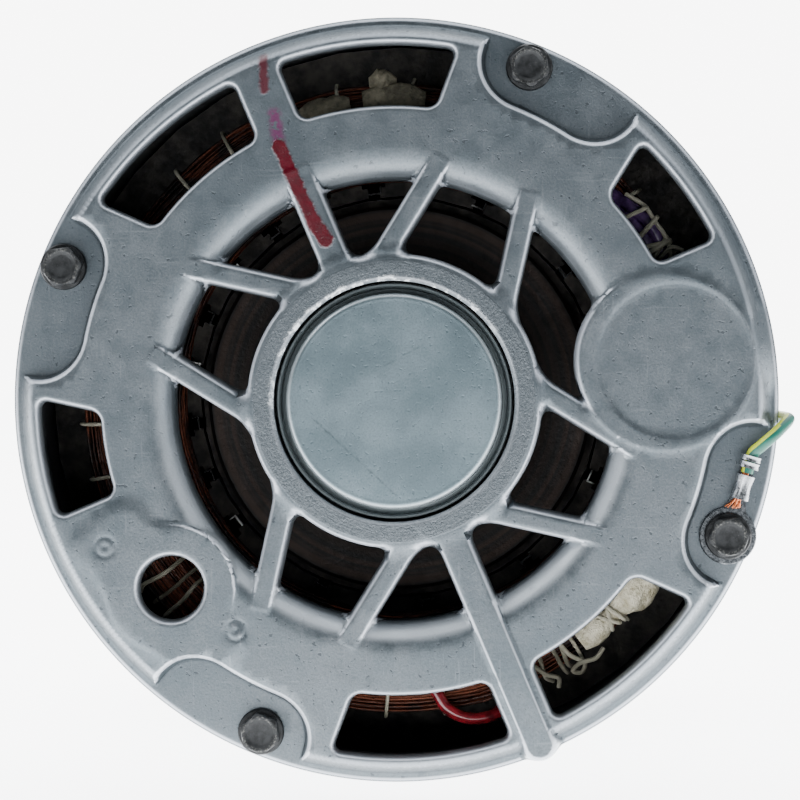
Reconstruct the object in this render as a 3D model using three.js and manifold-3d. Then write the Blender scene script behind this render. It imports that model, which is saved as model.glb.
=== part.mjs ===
// Combustion fan: a ventilated four-bolt motor with a forward-curved fan wheel on its shaft.
//
// Units are millimetres. The origin is the centre of the mounting face, on the shaft axis.
// +Y runs along the shaft, out of the motor and into the fan wheel, and +Z is up.
// Angles are in degrees in the X-Z plane, from +X towards +Z.

import * as THREE from "three";
import { mergeVertices } from "three/addons/utils/BufferGeometryUtils.js";
import Module from "manifold-3d";

const wasm = await Module();
wasm.setup();

// ---------------------------------------------------------------- driving dimensions

const GAP = 0.3; // between pieces that touch
const BODY_RADIUS = 82.5; // rims of both end shields
const MOTOR_LENGTH = 140; // mounting face to the rear face
const CASTING_WALL = 3.5;

const SHELL_THICKNESS = 1.6;
const RIM_OVERHANG = 0.7; // how far the rims stand proud of the shell
const RIM_THICKNESS = 4; // rear rim, and the front one below its mounting ring
const SPIGOT_DEPTH = 4; // how far each shield plugs into the shell
const SPIGOT_WALL = 2.6;

const AXIS_ANGLE = 113; // the rear casting mirrors about this line
const BOLT_INSET = 5.4; // bolt circle, in from the rims
const BOLT_RADIUS = 2.4;
const BOLT_CLEARANCE = 0.4;
const BOLT_FLANGE_RADIUS = 5;
const BOLT_FLANGE_THICKNESS = 1.2;
const BOLT_HEX_FLATS = 7.9;
const BOLT_HEX_HEIGHT = 3.4;
const STUD_LENGTH = 14; // bolt ends beyond the mounting face
const NUT_FLANGE_RADIUS = 5.9;
const NUT_HEIGHT = 4.6;
const NUT_POCKET_DEPTH = 6;

const RIM_DROP = 5; // rear face down to the rim and to the bolt pockets
const RIM_WIDTH = 2.1; // flat ledge outside the rear wall
const SHOULDER = 3.2; // width of the rounded shoulder above that ledge
const EYE_RADIUS = 47.5; // inner edge of the annulus of each shield
const EYE_ROUND = 6.5; // its bell-mouth radius
const RIB_WIDTH = 5.4;
const RIB_DEPTH = 7;
const RIB_HUB_OFFSET = 13.9; // centreline from the bolt direction, at the hub
const RIB_EYE_OFFSET = 10.6; // and at the annulus
const MAIN_RIB_WIDTH = 7;
const LONG_RIB_RISE = 0.8;
const VENT_INSET = 6.3; // outer vents, in from the rim
const VENT_HEIGHT = 12.8;
const VENT_AXIS_OFFSET = 5.3; // the vents' sides beside the two axes
const VENT_CORNER = 1.8;
const LONG_VENT = [30.9, 33]; // angle off the main axis, at the inner and outer corner
const SHORT_VENT = [20.6, 23.1]; // angle off the cross axis
const POCKET_HEIGHT = 13.8; // bolt pockets, in from the rim
const POCKET_NEAR = 7.3; // pocket's reach from its bolt towards the main axis
const POCKET_FAR = 18.1; // and away from it
const POCKET_CORNER = 8.5;

const HUB_RADIUS = 31.8;
const HUB_RING_RADIUS = 30.2; // machined ring on the rear hub
const HUB_RING_RISE = 1;
const CAP_SEAT_RADIUS = 25.8;
const CAP_SEAT_DEPTH = 5.4; // below the rear face
const CAP_DISC_RADIUS = 23.1;
const CAP_SHEET = 0.9;
const CAP_LIP_HEIGHT = 3.5;

const DISC_ANGLE = 8.4; // round pad beside the hub
const DISC_BOSS = { centre: 58.6, radius: 19.9, rise: 0.6 };
const DISC_RECESS = { centre: 60.5, radius: 16.4, depth: 0.3 };
const PAD_ANGLE = 220; // pad with the round hole
const PAD = { centre: 62.6, reach: 11.3, near: 22.2, far: 22, tail: 6, rise: 0.6 };
const PAD_ROUND_RADIUS = 14.1;
const PAD_HOLE_RADIUS = 6.86;
const PAD_MARK = { along: 5.05, across: 15.9, radius: 2.6, depth: 0.4 };

const BEARING = { bore: 8.5, outer: 20, width: 12, pitch: 14.25, ball: 3.2, balls: 8 };
const SPRING = { inner: 15, outer: 19.4, thickness: 0.5, wave: 0.45, waves: 3 };
const BEARING_LIP = 2; // inner flange of each bearing housing
const LIP_HOLE_RADIUS = 14;

const STACK_LENGTH = 50;
const STACK_REAR = 44; // rear face to the stack
const STATOR_BORE = 46;
const AIR_GAP = 0.6;
const SLOTS = 24;
const SLOT_WIDTH = 5.4;
const SLOT_MOUTH = 2.6;
const TOOTH_TIP = 2.2;
const BACK_IRON = 14;
const END_TURN_LENGTH = 25;
const END_TURN_INSET = 9.7; // main end turn, in from the shell
const START_TURN_WIDTH = 9;

const SHAFT_RADIUS = 7.94;
const JOURNAL_RADIUS = 8.2;
const ROTOR_SEAT_RADIUS = 9.5;
const SHAFT_FLAT = 0.8;
const END_RING = { inner: 27, outer: 43.4, height: 8 };
const COOLING_BLADES = 9;

const WHEEL_GAP = 14; // mounting face to the wheel's back plate
const WHEEL_WIDTH = 59;
const BLADE_TIP_RADIUS = 69.4;
const BLADE_LENGTH = 12; // radial
const BLADE_SWEEP = 9; // degrees that a blade leans forward over its length
const BLADE_THICKNESS = 0.8;
const BLADES = 36;
const WHEEL_SHEET = 1.2;
const WHEEL_LIP = 3;
const INLET_RADIUS = 53;
const WHEEL_HUB = { radius: 14, rear: 5, front: 30, flange: 26, flangeThickness: 2.4 };
const RIVET = { count: 4, circle: 20.5, radius: 2, head: 3.6, height: 1.4 };
const SET_SCREW = { radius: 2.8, at: 9.5 };

const EARTH_BOLT = 3; // the bolt that holds the earth terminal, counting from 0
const TERMINAL_ANGLE = 74; // direction that the earth terminal points
const TERMINAL = { ring: 6.15, sheet: 0.8, barrelStart: 8.1, barrelEnd: 13.8 };
const GRIP = { start: 15.3, end: 17.8 }; // the terminal's wings round the lead
const LEAD_RADIUS = 1.3;
const LEAD_HEIGHT = 2.5; // lead's centre over the pocket floor

const BLOCK = { inset: 9, proud: 3.5, rear: -42, front: -16, z: -3.8, half: 11 }; // from the rims
const SOCKET = { inset: 6.5, rear: -33, front: -18, half: 9 };
const TAB = { count: 3, pitch: 6, width: 6.3, thickness: 0.8, height: 6.6 };

// ---------------------------------------------------------------- places worked out from them

const REAR_FACE = -MOTOR_LENGTH;
const RIM_FACE = REAR_FACE + RIM_DROP;
const REAR_SEAT = RIM_FACE + RIM_THICKNESS; // where the shell butts on the rear shield
const FRONT_SEAT = -11;
const SHELL_OUTER = BODY_RADIUS - RIM_OVERHANG;
const SHELL_INNER = SHELL_OUTER - SHELL_THICKNESS;
const SPIGOT_RADIUS = SHELL_INNER - 0.4;
const WALL_INNER = SPIGOT_RADIUS - SPIGOT_WALL;
const BOLT_CIRCLE = BODY_RADIUS - BOLT_INSET;
const BOLT_ANGLES = [0, 1, 2, 3].map((i) => AXIS_ANGLE - 45 + 90 * i);
const CAP_SEAT = REAR_FACE + CAP_SEAT_DEPTH;
const REAR_BEARING = CAP_SEAT + GAP + BEARING.width / 2;
const SPRING_SPACE = 2 * (SPRING.wave + SPRING.thickness / 2 + GAP);
const REAR_LIP = REAR_BEARING + BEARING.width / 2 + SPRING_SPACE;
const FRONT_BEARING = -14.5;
const STACK_START = REAR_FACE + STACK_REAR;
const STACK_END = STACK_START + STACK_LENGTH;
const STATOR_OUTER = SHELL_INNER - GAP;
const SLOT_BOTTOM = STATOR_OUTER - BACK_IRON;
const SLOT_TOP = STATOR_BORE + TOOTH_TIP;
const MAIN_OUTER = SHELL_INNER - END_TURN_INSET;
const START_INNER = SLOT_TOP + GAP;
const START_OUTER = START_INNER + START_TURN_WIDTH;
const MAIN_INNER = START_OUTER + 0.5;
const ROTOR_RADIUS = STATOR_BORE - AIR_GAP;
const BLOCK_INNER = BODY_RADIUS - BLOCK.inset;
const BLOCK_OUTER = BODY_RADIUS + BLOCK.proud;
const SOCKET_FLOOR = BODY_RADIUS - SOCKET.inset;
const WHEEL_BACK = WHEEL_GAP;
const WHEEL_FRONT = WHEEL_GAP + WHEEL_WIDTH;
const BLADE_ROOT_RADIUS = BLADE_TIP_RADIUS - BLADE_LENGTH;
const LIP_RADIUS = BLADE_TIP_RADIUS + 0.5;

const ROUND = 36; // facets of a large circle
const MEDIUM = 24;
const SMALL = 12;
const TINY = 10;

// ---------------------------------------------------------------- materials

function finish(color, metalness, roughness) {
  return new THREE.MeshStandardMaterial({ color, metalness, roughness });
}

const castAluminium = finish(0x9fa8ac, 0.85, 0.5);
const zincPlate = finish(0x9db0b2, 0.9, 0.35);
const shellSteel = finish(0x8e969b, 0.85, 0.4);
const blackOxide = finish(0x2b2b2b, 0.6, 0.45);
const tinPlate = finish(0xcfcac6, 0.9, 0.3);
const brass = finish(0xc9a85a, 0.9, 0.35);
const coreSteel = finish(0x4a4a4c, 0.7, 0.5);
const copperWire = finish(0x8a3a1c, 0.6, 0.4);
const darkAluminium = finish(0x5e6062, 0.7, 0.5);
const shaftSteel = finish(0xb6babd, 0.95, 0.25);
const bearingSteel = finish(0xc2c6c9, 0.95, 0.2);
const springSteel = finish(0x77797b, 0.9, 0.35);
const rubber = finish(0x1c1c1c, 0, 0.8);
const nylon = finish(0xe4e0d4, 0, 0.55);
const creamSleeve = finish(0xc9bd8c, 0, 0.7);
const redSleeve = finish(0x8c1420, 0, 0.4);
const purpleSleeve = finish(0x4b2f66, 0, 0.4);
const greenLead = finish(0x168a72, 0, 0.4);
const galvanised = finish(0xa9b0b4, 0.85, 0.4);

// ---------------------------------------------------------------- geometry helpers

const radians = THREE.MathUtils.degToRad;

function polar(radius, angle) {
  return [radius * Math.cos(radians(angle)), radius * Math.sin(radians(angle))];
}

// A closed BufferGeometry as a manifold-3d solid, with its seams merged.
function solidOf(geometry) {
  const bare = geometry.clone();
  bare.deleteAttribute("normal");
  bare.deleteAttribute("uv");
  const merged = mergeVertices(bare, 1e-4);
  const index = merged.index.array;
  const triVerts = [];
  for (let i = 0; i < index.length; i += 3) {
    const [a, b, c] = [index[i], index[i + 1], index[i + 2]];
    if (a !== b && b !== c && c !== a) triVerts.push(a, b, c);
  }
  return new wasm.Manifold(
    new wasm.Mesh({
      numProp: 3,
      vertProperties: new Float32Array(merged.attributes.position.array),
      triVerts: new Uint32Array(triVerts),
    }),
  );
}

function geometryOf(solid) {
  const mesh = solid.simplify(0.02).getMesh();
  const geometry = new THREE.BufferGeometry();
  geometry.setAttribute("position", new THREE.BufferAttribute(mesh.vertProperties, 3));
  geometry.setIndex(new THREE.BufferAttribute(mesh.triVerts, 1));
  geometry.computeVertexNormals();
  return geometry;
}

// A closed profile of [radius, y] pairs, turned about the shaft axis.
function turned(profile, facets = ROUND) {
  let area = 0;
  profile.forEach(([r, y], i) => {
    const [nextR, nextY] = profile[(i + 1) % profile.length];
    area += r * nextY - nextR * y;
  });
  const ordered = area > 0 ? profile : [...profile].reverse();
  const points = [...ordered, ordered[0]].map(([r, y]) => new THREE.Vector2(r, y));
  return solidOf(new THREE.LatheGeometry(points, facets));
}

// A plan outline of [x, z] pairs, extruded from y = low to y = high.
function plate(outline, low, high) {
  const shape = new THREE.Shape(outline.map(([x, z]) => new THREE.Vector2(x, z)));
  const geometry = new THREE.ExtrudeGeometry(shape, { depth: high - low, bevelEnabled: false });
  return solidOf(geometry.rotateX(Math.PI / 2).translate(0, high, 0));
}

function cylinder(radius, low, high, [x, z] = [0, 0], facets = SMALL) {
  const geometry = new THREE.CylinderGeometry(radius, radius, high - low, facets);
  return solidOf(geometry.translate(x, (low + high) / 2, z));
}

function ring(inner, outer, low, high, facets = ROUND) {
  return turned([[inner, low], [outer, low], [outer, high], [inner, high]], facets);
}

function box(x, y, z) {
  const geometry = new THREE.BoxGeometry(x[1] - x[0], y[1] - y[0], z[1] - z[0]);
  return solidOf(geometry.translate((x[0] + x[1]) / 2, (y[0] + y[1]) / 2, (z[0] + z[1]) / 2));
}

function join(solids) {
  return solids.reduce((all, one) => all.add(one));
}

function cut(solid, tools) {
  return tools.reduce((left, tool) => left.subtract(tool), solid);
}

// Turns a solid about the shaft axis, from +X towards +Z.
function swung(solid, angle) {
  return solid.rotate([0, -angle, 0]);
}

// An outline whose corners {x, z, round} are rounded by arcs; a corner without a round stays sharp.
function rounded(corners, steps = 3) {
  const out = [];
  corners.forEach((corner, i) => {
    if (!corner.round) {
      out.push([corner.x, corner.z]);
      return;
    }
    const here = new THREE.Vector2(corner.x, corner.z);
    const last = corners[(i + corners.length - 1) % corners.length];
    const next = corners[(i + 1) % corners.length];
    const back = new THREE.Vector2(last.x, last.z).sub(here).normalize();
    const on = new THREE.Vector2(next.x, next.z).sub(here).normalize();
    const half = Math.acos(THREE.MathUtils.clamp(back.dot(on), -1, 1)) / 2;
    const centre = here.clone().add(back.clone().add(on).setLength(corner.round / Math.sin(half)));
    const reach = corner.round / Math.tan(half);
    const start = here.clone().addScaledVector(back, reach).sub(centre);
    const end = here.clone().addScaledVector(on, reach).sub(centre);
    const sweep = Math.atan2(start.cross(end), start.dot(end));
    for (let s = 0; s <= steps; s += 1) {
      const turn = start.clone().rotateAround(new THREE.Vector2(), (sweep * s) / steps).add(centre);
      out.push([turn.x, turn.y]);
    }
  });
  return out;
}

// Corners of a patch between two radii: sides run between [angle at inner, angle at outer].
function sectorCorners(inner, outer, from, to, round, outerRound = round) {
  const arc = (radius, start, end, steps) =>
    Array.from({ length: steps - 1 }, (_, i) => polar(radius, start + ((end - start) * (i + 1)) / steps));
  const corner = ([x, z], r) => ({ x, z, round: r });
  return [
    corner(polar(inner, from[0]), round),
    ...arc(inner, from[0], to[0], 4).map((p) => corner(p, 0)),
    corner(polar(inner, to[0]), round),
    corner(polar(outer, to[1]), outerRound),
    ...arc(outer, to[1], from[1], 6).map((p) => corner(p, 0)),
    corner(polar(outer, from[1]), outerRound),
  ];
}

// A straight bar in plan along a direction, between two points given along and across it.
function bar(direction, [alongA, acrossA], [alongB, acrossB], width, low, high) {
  const line = new THREE.Vector2(alongB - alongA, acrossB - acrossA).normalize();
  const side = [-line.y * (width / 2), line.x * (width / 2)];
  const outline = [
    [alongA + side[0], acrossA + side[1]],
    [alongA - side[0], acrossA - side[1]],
    [alongB - side[0], acrossB - side[1]],
    [alongB + side[0], acrossB + side[1]],
  ];
  return swung(plate(outline, low, high), direction);
}

// A round tube of eight sides along a smooth line through points.
function tube(points, radius, steps) {
  const corners = Array.from({ length: 8 }, (_, i) => new THREE.Vector2(...polar(radius, 45 * i)));
  const section = new THREE.Shape(corners);
  const path = new THREE.CatmullRomCurve3(points, false, "centripetal");
  return solidOf(new THREE.ExtrudeGeometry(section, { extrudePath: path, steps, bevelEnabled: false }));
}

// Quarter circle of [radius, y] points about a centre, for profiles.
function quarter(centreR, centreY, radius, from, to, steps) {
  return Array.from({ length: steps + 1 }, (_, i) => {
    const [r, y] = polar(radius, from + ((to - from) * i) / steps);
    return [centreR + r, centreY + y];
  });
}

// ---------------------------------------------------------------- rear end shield

const POCKET_INNER = BODY_RADIUS - POCKET_HEIGHT;
const VENT_OUTER = BODY_RADIUS - VENT_INSET;
const VENT_INNER = VENT_OUTER - VENT_HEIGHT;

// +1 where the main axis lies anticlockwise of the bolt, -1 where it lies clockwise.
const towardsAxis = (boltIndex) => (boltIndex % 2 === 0 ? 1 : -1);

function pocketOutline(boltIndex, grow, steps) {
  const side = towardsAxis(boltIndex);
  const spread = THREE.MathUtils.radToDeg(grow / BOLT_CIRCLE);
  const ends = [
    BOLT_ANGLES[boltIndex] + side * (POCKET_NEAR + spread),
    BOLT_ANGLES[boltIndex] - side * (POCKET_FAR + spread),
  ];
  const [from, to] = ends.sort((a, b) => a - b);
  const corners = sectorCorners(
    POCKET_INNER - grow, BODY_RADIUS + 4, [from, from], [to, to], POCKET_CORNER + grow, 0);
  return rounded(corners, steps);
}

function ventOutline(axis, side, far) {
  const nearAngle = (radius) => THREE.MathUtils.radToDeg(Math.asin(VENT_AXIS_OFFSET / radius));
  const near = [axis + side * nearAngle(VENT_INNER), axis + side * nearAngle(VENT_OUTER)];
  const away = [axis + side * far[0], axis + side * far[1]];
  const [from, to] = side > 0 ? [near, away] : [away, near];
  return rounded(sectorCorners(VENT_INNER, VENT_OUTER, from, to, VENT_CORNER), 2);
}

function outerVents() {
  const long = [[0, 1], [0, -1], [180, 1], [180, -1]].map(([turn, side]) =>
    ventOutline(AXIS_ANGLE + turn, side, LONG_VENT));
  const short = [ventOutline(AXIS_ANGLE - 90, 1, SHORT_VENT), ventOutline(AXIS_ANGLE + 90, -1, SHORT_VENT)];
  return [...long, ...short].map((outline) => plate(outline, REAR_FACE - 5, REAR_SEAT));
}

// Ribs come in pairs that lean towards each bolt's direction.
function leaningRibs(angles, hubRadius, eyeRadius, low, high) {
  const slope = (RIB_EYE_OFFSET - RIB_HUB_OFFSET) / (eyeRadius - hubRadius);
  const start = hubRadius - 10;
  const end = eyeRadius + 7;
  return angles.flatMap((angle) =>
    [1, -1].map((side) =>
      bar(angle,
        [start, side * (RIB_HUB_OFFSET + slope * (start - hubRadius))],
        [end, side * (RIB_HUB_OFFSET + slope * (end - hubRadius))],
        RIB_WIDTH, low, high)));
}

function padOutline() {
  const { centre, reach, near, far, tail } = PAD;
  const corners = [
    { x: centre - tail, z: -near, round: 3 },
    { x: centre + reach, z: -near, round: 5.4 },
    { x: centre + reach, z: far * 0.62, round: 8 },
    { x: centre + reach * 0.1, z: far, round: 5 },
    { x: centre - tail, z: far, round: 3 },
  ];
  return rounded(corners.reverse());
}

function rearEndShield() {
  const wallTop = BODY_RADIUS - RIM_WIDTH - SHOULDER;
  const under = REAR_FACE + CASTING_WALL;
  const dish = turned([
    [BODY_RADIUS, REAR_SEAT],
    [BODY_RADIUS, RIM_FACE],
    [BODY_RADIUS - RIM_WIDTH, RIM_FACE],
    [wallTop + SHOULDER * 0.5, REAR_FACE + 1.5],
    [wallTop, REAR_FACE],
    ...quarter(EYE_RADIUS + EYE_ROUND, REAR_FACE + EYE_ROUND, EYE_ROUND, 270, 180, 2),
    [EYE_RADIUS, REAR_FACE + EYE_ROUND + CASTING_WALL],
    [EYE_RADIUS + 2.8, REAR_FACE + EYE_ROUND + CASTING_WALL],
    [EYE_RADIUS + EYE_ROUND, under],
    [WALL_INNER, under],
    [WALL_INNER, REAR_SEAT + SPIGOT_DEPTH],
    [SPIGOT_RADIUS, REAR_SEAT + SPIGOT_DEPTH],
    [SPIGOT_RADIUS, REAR_SEAT],
  ]);
  const housingEnd = REAR_LIP + BEARING_LIP;
  const hub = turned([
    [0, REAR_FACE - HUB_RING_RISE],
    [HUB_RING_RADIUS, REAR_FACE - HUB_RING_RISE],
    [HUB_RADIUS, REAR_FACE + 0.4],
    [HUB_RADIUS, REAR_FACE + RIB_DEPTH],
    [BEARING.outer + 5.5, REAR_FACE + 14],
    [BEARING.outer + 5.5, housingEnd],
    [0, housingEnd],
  ]);
  const ribFloor = REAR_FACE + RIB_DEPTH;
  const ribs = leaningRibs(BOLT_ANGLES, HUB_RADIUS, EYE_RADIUS, REAR_FACE, ribFloor);
  const topRib = bar(AXIS_ANGLE, [HUB_RADIUS - 6, 0], [EYE_RADIUS + 8, 0], MAIN_RIB_WIDTH,
    REAR_FACE, ribFloor);
  const nose = BODY_RADIUS + 1.1 - MAIN_RIB_WIDTH / 2;
  const longRib = bar(AXIS_ANGLE + 180, [HUB_RADIUS - 6, 0], [nose, 0], MAIN_RIB_WIDTH,
    REAR_FACE - LONG_RIB_RISE, REAR_FACE + CASTING_WALL);
  const longRibRoot = bar(AXIS_ANGLE + 180, [HUB_RADIUS - 6, 0], [EYE_RADIUS + 8, 0], MAIN_RIB_WIDTH,
    REAR_FACE, ribFloor);
  const longRibNose = cylinder(MAIN_RIB_WIDTH / 2, REAR_FACE - LONG_RIB_RISE, REAR_SEAT,
    polar(nose, AXIS_ANGLE + 180));
  const discBoss = cylinder(DISC_BOSS.radius, REAR_FACE - DISC_BOSS.rise, ribFloor,
    polar(DISC_BOSS.centre, DISC_ANGLE), MEDIUM);
  const padTop = REAR_FACE - PAD.rise;
  const padPlate = swung(plate(padOutline(), padTop, under), PAD_ANGLE);
  const padRound = cylinder(PAD_ROUND_RADIUS, padTop, under, polar(PAD.centre, PAD_ANGLE), MEDIUM);
  const inShoulder = ring(EYE_RADIUS, wallTop + SHOULDER * 0.75, REAR_FACE - 5, REAR_SEAT);
  const pocketCups = BOLT_ANGLES.map((_, i) =>
    plate(pocketOutline(i, CASTING_WALL - 0.3, 1), under - 0.1, REAR_SEAT - 0.5).intersect(inShoulder));
  const body = join([dish, hub, ...ribs, topRib, longRib, longRibRoot, longRibNose, discBoss,
    padPlate, padRound, ...pocketCups]);

  const pockets = BOLT_ANGLES.map((_, i) => plate(pocketOutline(i, 0, 3), REAR_FACE - 5, RIM_FACE));
  const boltHoles = BOLT_ANGLES.map((angle) =>
    cylinder(BOLT_RADIUS + BOLT_CLEARANCE, REAR_FACE - 5, REAR_SEAT + 10, polar(BOLT_CIRCLE, angle)));
  const discRecess = cylinder(DISC_RECESS.radius, REAR_FACE - 5,
    REAR_FACE - DISC_BOSS.rise + DISC_RECESS.depth, polar(DISC_RECESS.centre, DISC_ANGLE), MEDIUM);
  const padHole = cylinder(PAD_HOLE_RADIUS, REAR_FACE - 5, REAR_FACE + 10, polar(PAD.centre, PAD_ANGLE), 32);
  const marks = [1, -1].map((side) =>
    swung(cylinder(PAD_MARK.radius, padTop - 5, padTop + PAD_MARK.depth,
      [PAD.centre - side * PAD_MARK.along, side * PAD_MARK.across]), PAD_ANGLE));
  return cut(body, [
    ...outerVents(), ...pockets, ...boltHoles, discRecess, padHole, ...marks,
    cylinder(CAP_SEAT_RADIUS, REAR_FACE - 5, CAP_SEAT, [0, 0], ROUND),
    cylinder(BEARING.outer + GAP, CAP_SEAT - 1, REAR_LIP, [0, 0], ROUND),
    cylinder(LIP_HOLE_RADIUS, REAR_LIP - 1, housingEnd + 1, [0, 0], MEDIUM),
  ]);
}

function rearBearingCap() {
  const bottom = CAP_SEAT - GAP;
  const disc = REAR_FACE - 0.4;
  const lip = bottom - CAP_LIP_HEIGHT;
  const outer = CAP_SEAT_RADIUS - 0.4;
  return turned([
    [0, disc],
    [CAP_DISC_RADIUS - 1.1, disc],
    [CAP_DISC_RADIUS, disc + 1.1],
    [CAP_DISC_RADIUS, bottom - CAP_SHEET],
    [outer - 1.2, bottom - CAP_SHEET],
    [outer - 1.2, lip],
    [outer, lip],
    [outer, bottom],
    [CAP_DISC_RADIUS - CAP_SHEET, bottom],
    [CAP_DISC_RADIUS - CAP_SHEET, disc + CAP_SHEET],
    [0, disc + CAP_SHEET],
  ]);
}

// ---------------------------------------------------------------- front end shield

const MOUNT_RING_INNER = POCKET_INNER + 5.1; // spigot that centres the motor in its opening
const FRONT_WEB = -5; // outer face of the web between hub and mounting ring
const SPIGOT_RISE = 3;

function frontEndShield() {
  const under = FRONT_WEB - CASTING_WALL;
  const housingEnd = FRONT_BEARING - BEARING.width / 2 - 3.5;
  const housing = BEARING.outer + 5;
  const dish = turned([
    [0, FRONT_WEB],
    [MOUNT_RING_INNER - 4.4, FRONT_WEB],
    [MOUNT_RING_INNER - 2.6, SPIGOT_RISE],
    [MOUNT_RING_INNER, SPIGOT_RISE],
    [MOUNT_RING_INNER, 0],
    [BODY_RADIUS, 0],
    [BODY_RADIUS, FRONT_SEAT],
    [SPIGOT_RADIUS, FRONT_SEAT],
    [SPIGOT_RADIUS, FRONT_SEAT - SPIGOT_DEPTH],
    [WALL_INNER, FRONT_SEAT - SPIGOT_DEPTH],
    [WALL_INNER, under],
    [housing, under],
    [housing, housingEnd],
    [0, housingEnd],
  ]);
  const inRims = ring(EYE_RADIUS, SPIGOT_RADIUS, FRONT_SEAT - 3, 0);
  const nutCups = BOLT_ANGLES.map((angle) =>
    bar(angle, [BOLT_CIRCLE - NUT_FLANGE_RADIUS - 4, 0], [BODY_RADIUS, 0], 2 * NUT_FLANGE_RADIUS + 8,
      FRONT_SEAT - 1, -1).intersect(inRims));
  const ribs = BOLT_ANGLES.map((angle) =>
    bar(angle, [housing - 2, 0], [WALL_INNER + 1, 0], RIB_WIDTH, under - 3.5, under + 0.1));
  const body = join([dish, ...nutCups, ...ribs]);

  const nutPockets = BOLT_ANGLES.flatMap((angle) => [
    cylinder(NUT_FLANGE_RADIUS + 1.2, -NUT_POCKET_DEPTH, 5, polar(BOLT_CIRCLE, angle), SMALL),
    bar(angle, [BOLT_CIRCLE, 0], [BODY_RADIUS + 4, 0], 2 * NUT_FLANGE_RADIUS + 2.4, -NUT_POCKET_DEPTH, 5),
  ]);
  const boltHoles = BOLT_ANGLES.map((angle) =>
    cylinder(BOLT_RADIUS + BOLT_CLEARANCE, FRONT_SEAT - 8, 5, polar(BOLT_CIRCLE, angle)));
  const ventOuter = MOUNT_RING_INNER - 8;
  const ventInner = ventOuter - VENT_HEIGHT - 4;
  const vents = BOLT_ANGLES.map((angle) => {
    const middle = angle + 45;
    const corners = sectorCorners(ventInner, ventOuter, [middle - 28, middle - 30],
      [middle + 28, middle + 30], 4);
    return plate(rounded(corners, 1), under - 2, FRONT_WEB + 2);
  });
  return cut(body, [
    ...nutPockets, ...boltHoles, ...vents,
    cylinder(BEARING.outer + GAP, housingEnd - 1, FRONT_BEARING + BEARING.width / 2 + GAP, [0, 0], ROUND),
    cylinder(SHAFT_RADIUS + 3, FRONT_BEARING, 1, [0, 0], MEDIUM),
  ]);
}

// ---------------------------------------------------------------- shell and its clamp bolts

function motorShell() {
  const tube = ring(SHELL_INNER, SHELL_OUTER, REAR_SEAT + GAP, FRONT_SEAT - GAP);
  const window = box([BLOCK_INNER - 5, SHELL_OUTER + 5],
    [BLOCK.rear - GAP, BLOCK.front + GAP],
    [BLOCK.z - BLOCK.half - GAP, BLOCK.z + BLOCK.half + GAP]);
  return tube.subtract(window);
}

function hexPrism(flats, low, high, centre) {
  const turnedHex = new THREE.CylinderGeometry(flats / Math.sqrt(3), flats / Math.sqrt(3), high - low, 6);
  return solidOf(turnedHex.translate(centre[0], (low + high) / 2, centre[1]));
}

function throughBolt(index) {
  const centre = polar(BOLT_CIRCLE, BOLT_ANGLES[index]);
  const lift = index === EARTH_BOLT ? TERMINAL.sheet + GAP : 0;
  const seat = RIM_FACE - GAP - lift;
  const flangeTop = seat - BOLT_FLANGE_THICKNESS;
  return join([
    cylinder(BOLT_RADIUS, seat - 0.1, STUD_LENGTH, centre, TINY),
    cylinder(BOLT_FLANGE_RADIUS, flangeTop, seat, centre, 18),
    hexPrism(BOLT_HEX_FLATS, flangeTop - BOLT_HEX_HEIGHT, flangeTop + 0.1, centre),
  ]);
}

function clampNut(index) {
  const centre = polar(BOLT_CIRCLE, BOLT_ANGLES[index]);
  const seat = -NUT_POCKET_DEPTH + GAP;
  const nut = join([
    cylinder(NUT_FLANGE_RADIUS, seat, seat + 1.1, centre, 18),
    hexPrism(BOLT_HEX_FLATS, seat + 1, seat + NUT_HEIGHT, centre),
  ]);
  return nut.subtract(cylinder(BOLT_RADIUS + BOLT_CLEARANCE, seat - 1, seat + NUT_HEIGHT + 1, centre, TINY));
}

// ---------------------------------------------------------------- earth terminal, lead and socket block

const earthCentre = polar(BOLT_CIRCLE, BOLT_ANGLES[EARTH_BOLT]);
const terminalFloor = RIM_FACE - GAP;

// Stands a solid built along +X beside the origin on the earth bolt, pointing along the terminal.
function onTerminal(solid) {
  return swung(solid, TERMINAL_ANGLE).translate([earthCentre[0], 0, earthCentre[1]]);
}

function ringTerminal() {
  const top = terminalFloor - TERMINAL.sheet;
  const middle = RIM_FACE - LEAD_HEIGHT;
  const { ring: ringRadius, barrelStart, barrelEnd } = TERMINAL;
  const along = (radius, from, to, facets = SMALL) => {
    const geometry = new THREE.CylinderGeometry(radius, radius, to - from, facets);
    return solidOf(geometry.rotateZ(Math.PI / 2).translate((from + to) / 2, middle, 0));
  };
  const gripInner = LEAD_RADIUS + GAP;
  const body = join([
    cylinder(ringRadius, top, terminalFloor, [0, 0], 32),
    box([0, barrelStart + 1], [top, terminalFloor], [-2.4, 2.4]),
    box([barrelStart, GRIP.end], [middle + gripInner, terminalFloor], [-1.4, 1.4]),
    along(1.75, barrelStart, barrelEnd),
    along(gripInner + 0.45, GRIP.start, GRIP.end),
  ]);
  return onTerminal(cut(body, [
    cylinder(BOLT_RADIUS + BOLT_CLEARANCE, top - 1, terminalFloor + 1, [0, 0], 16),
    along(gripInner, barrelEnd + 0.01, GRIP.end + 1),
  ]));
}

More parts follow.
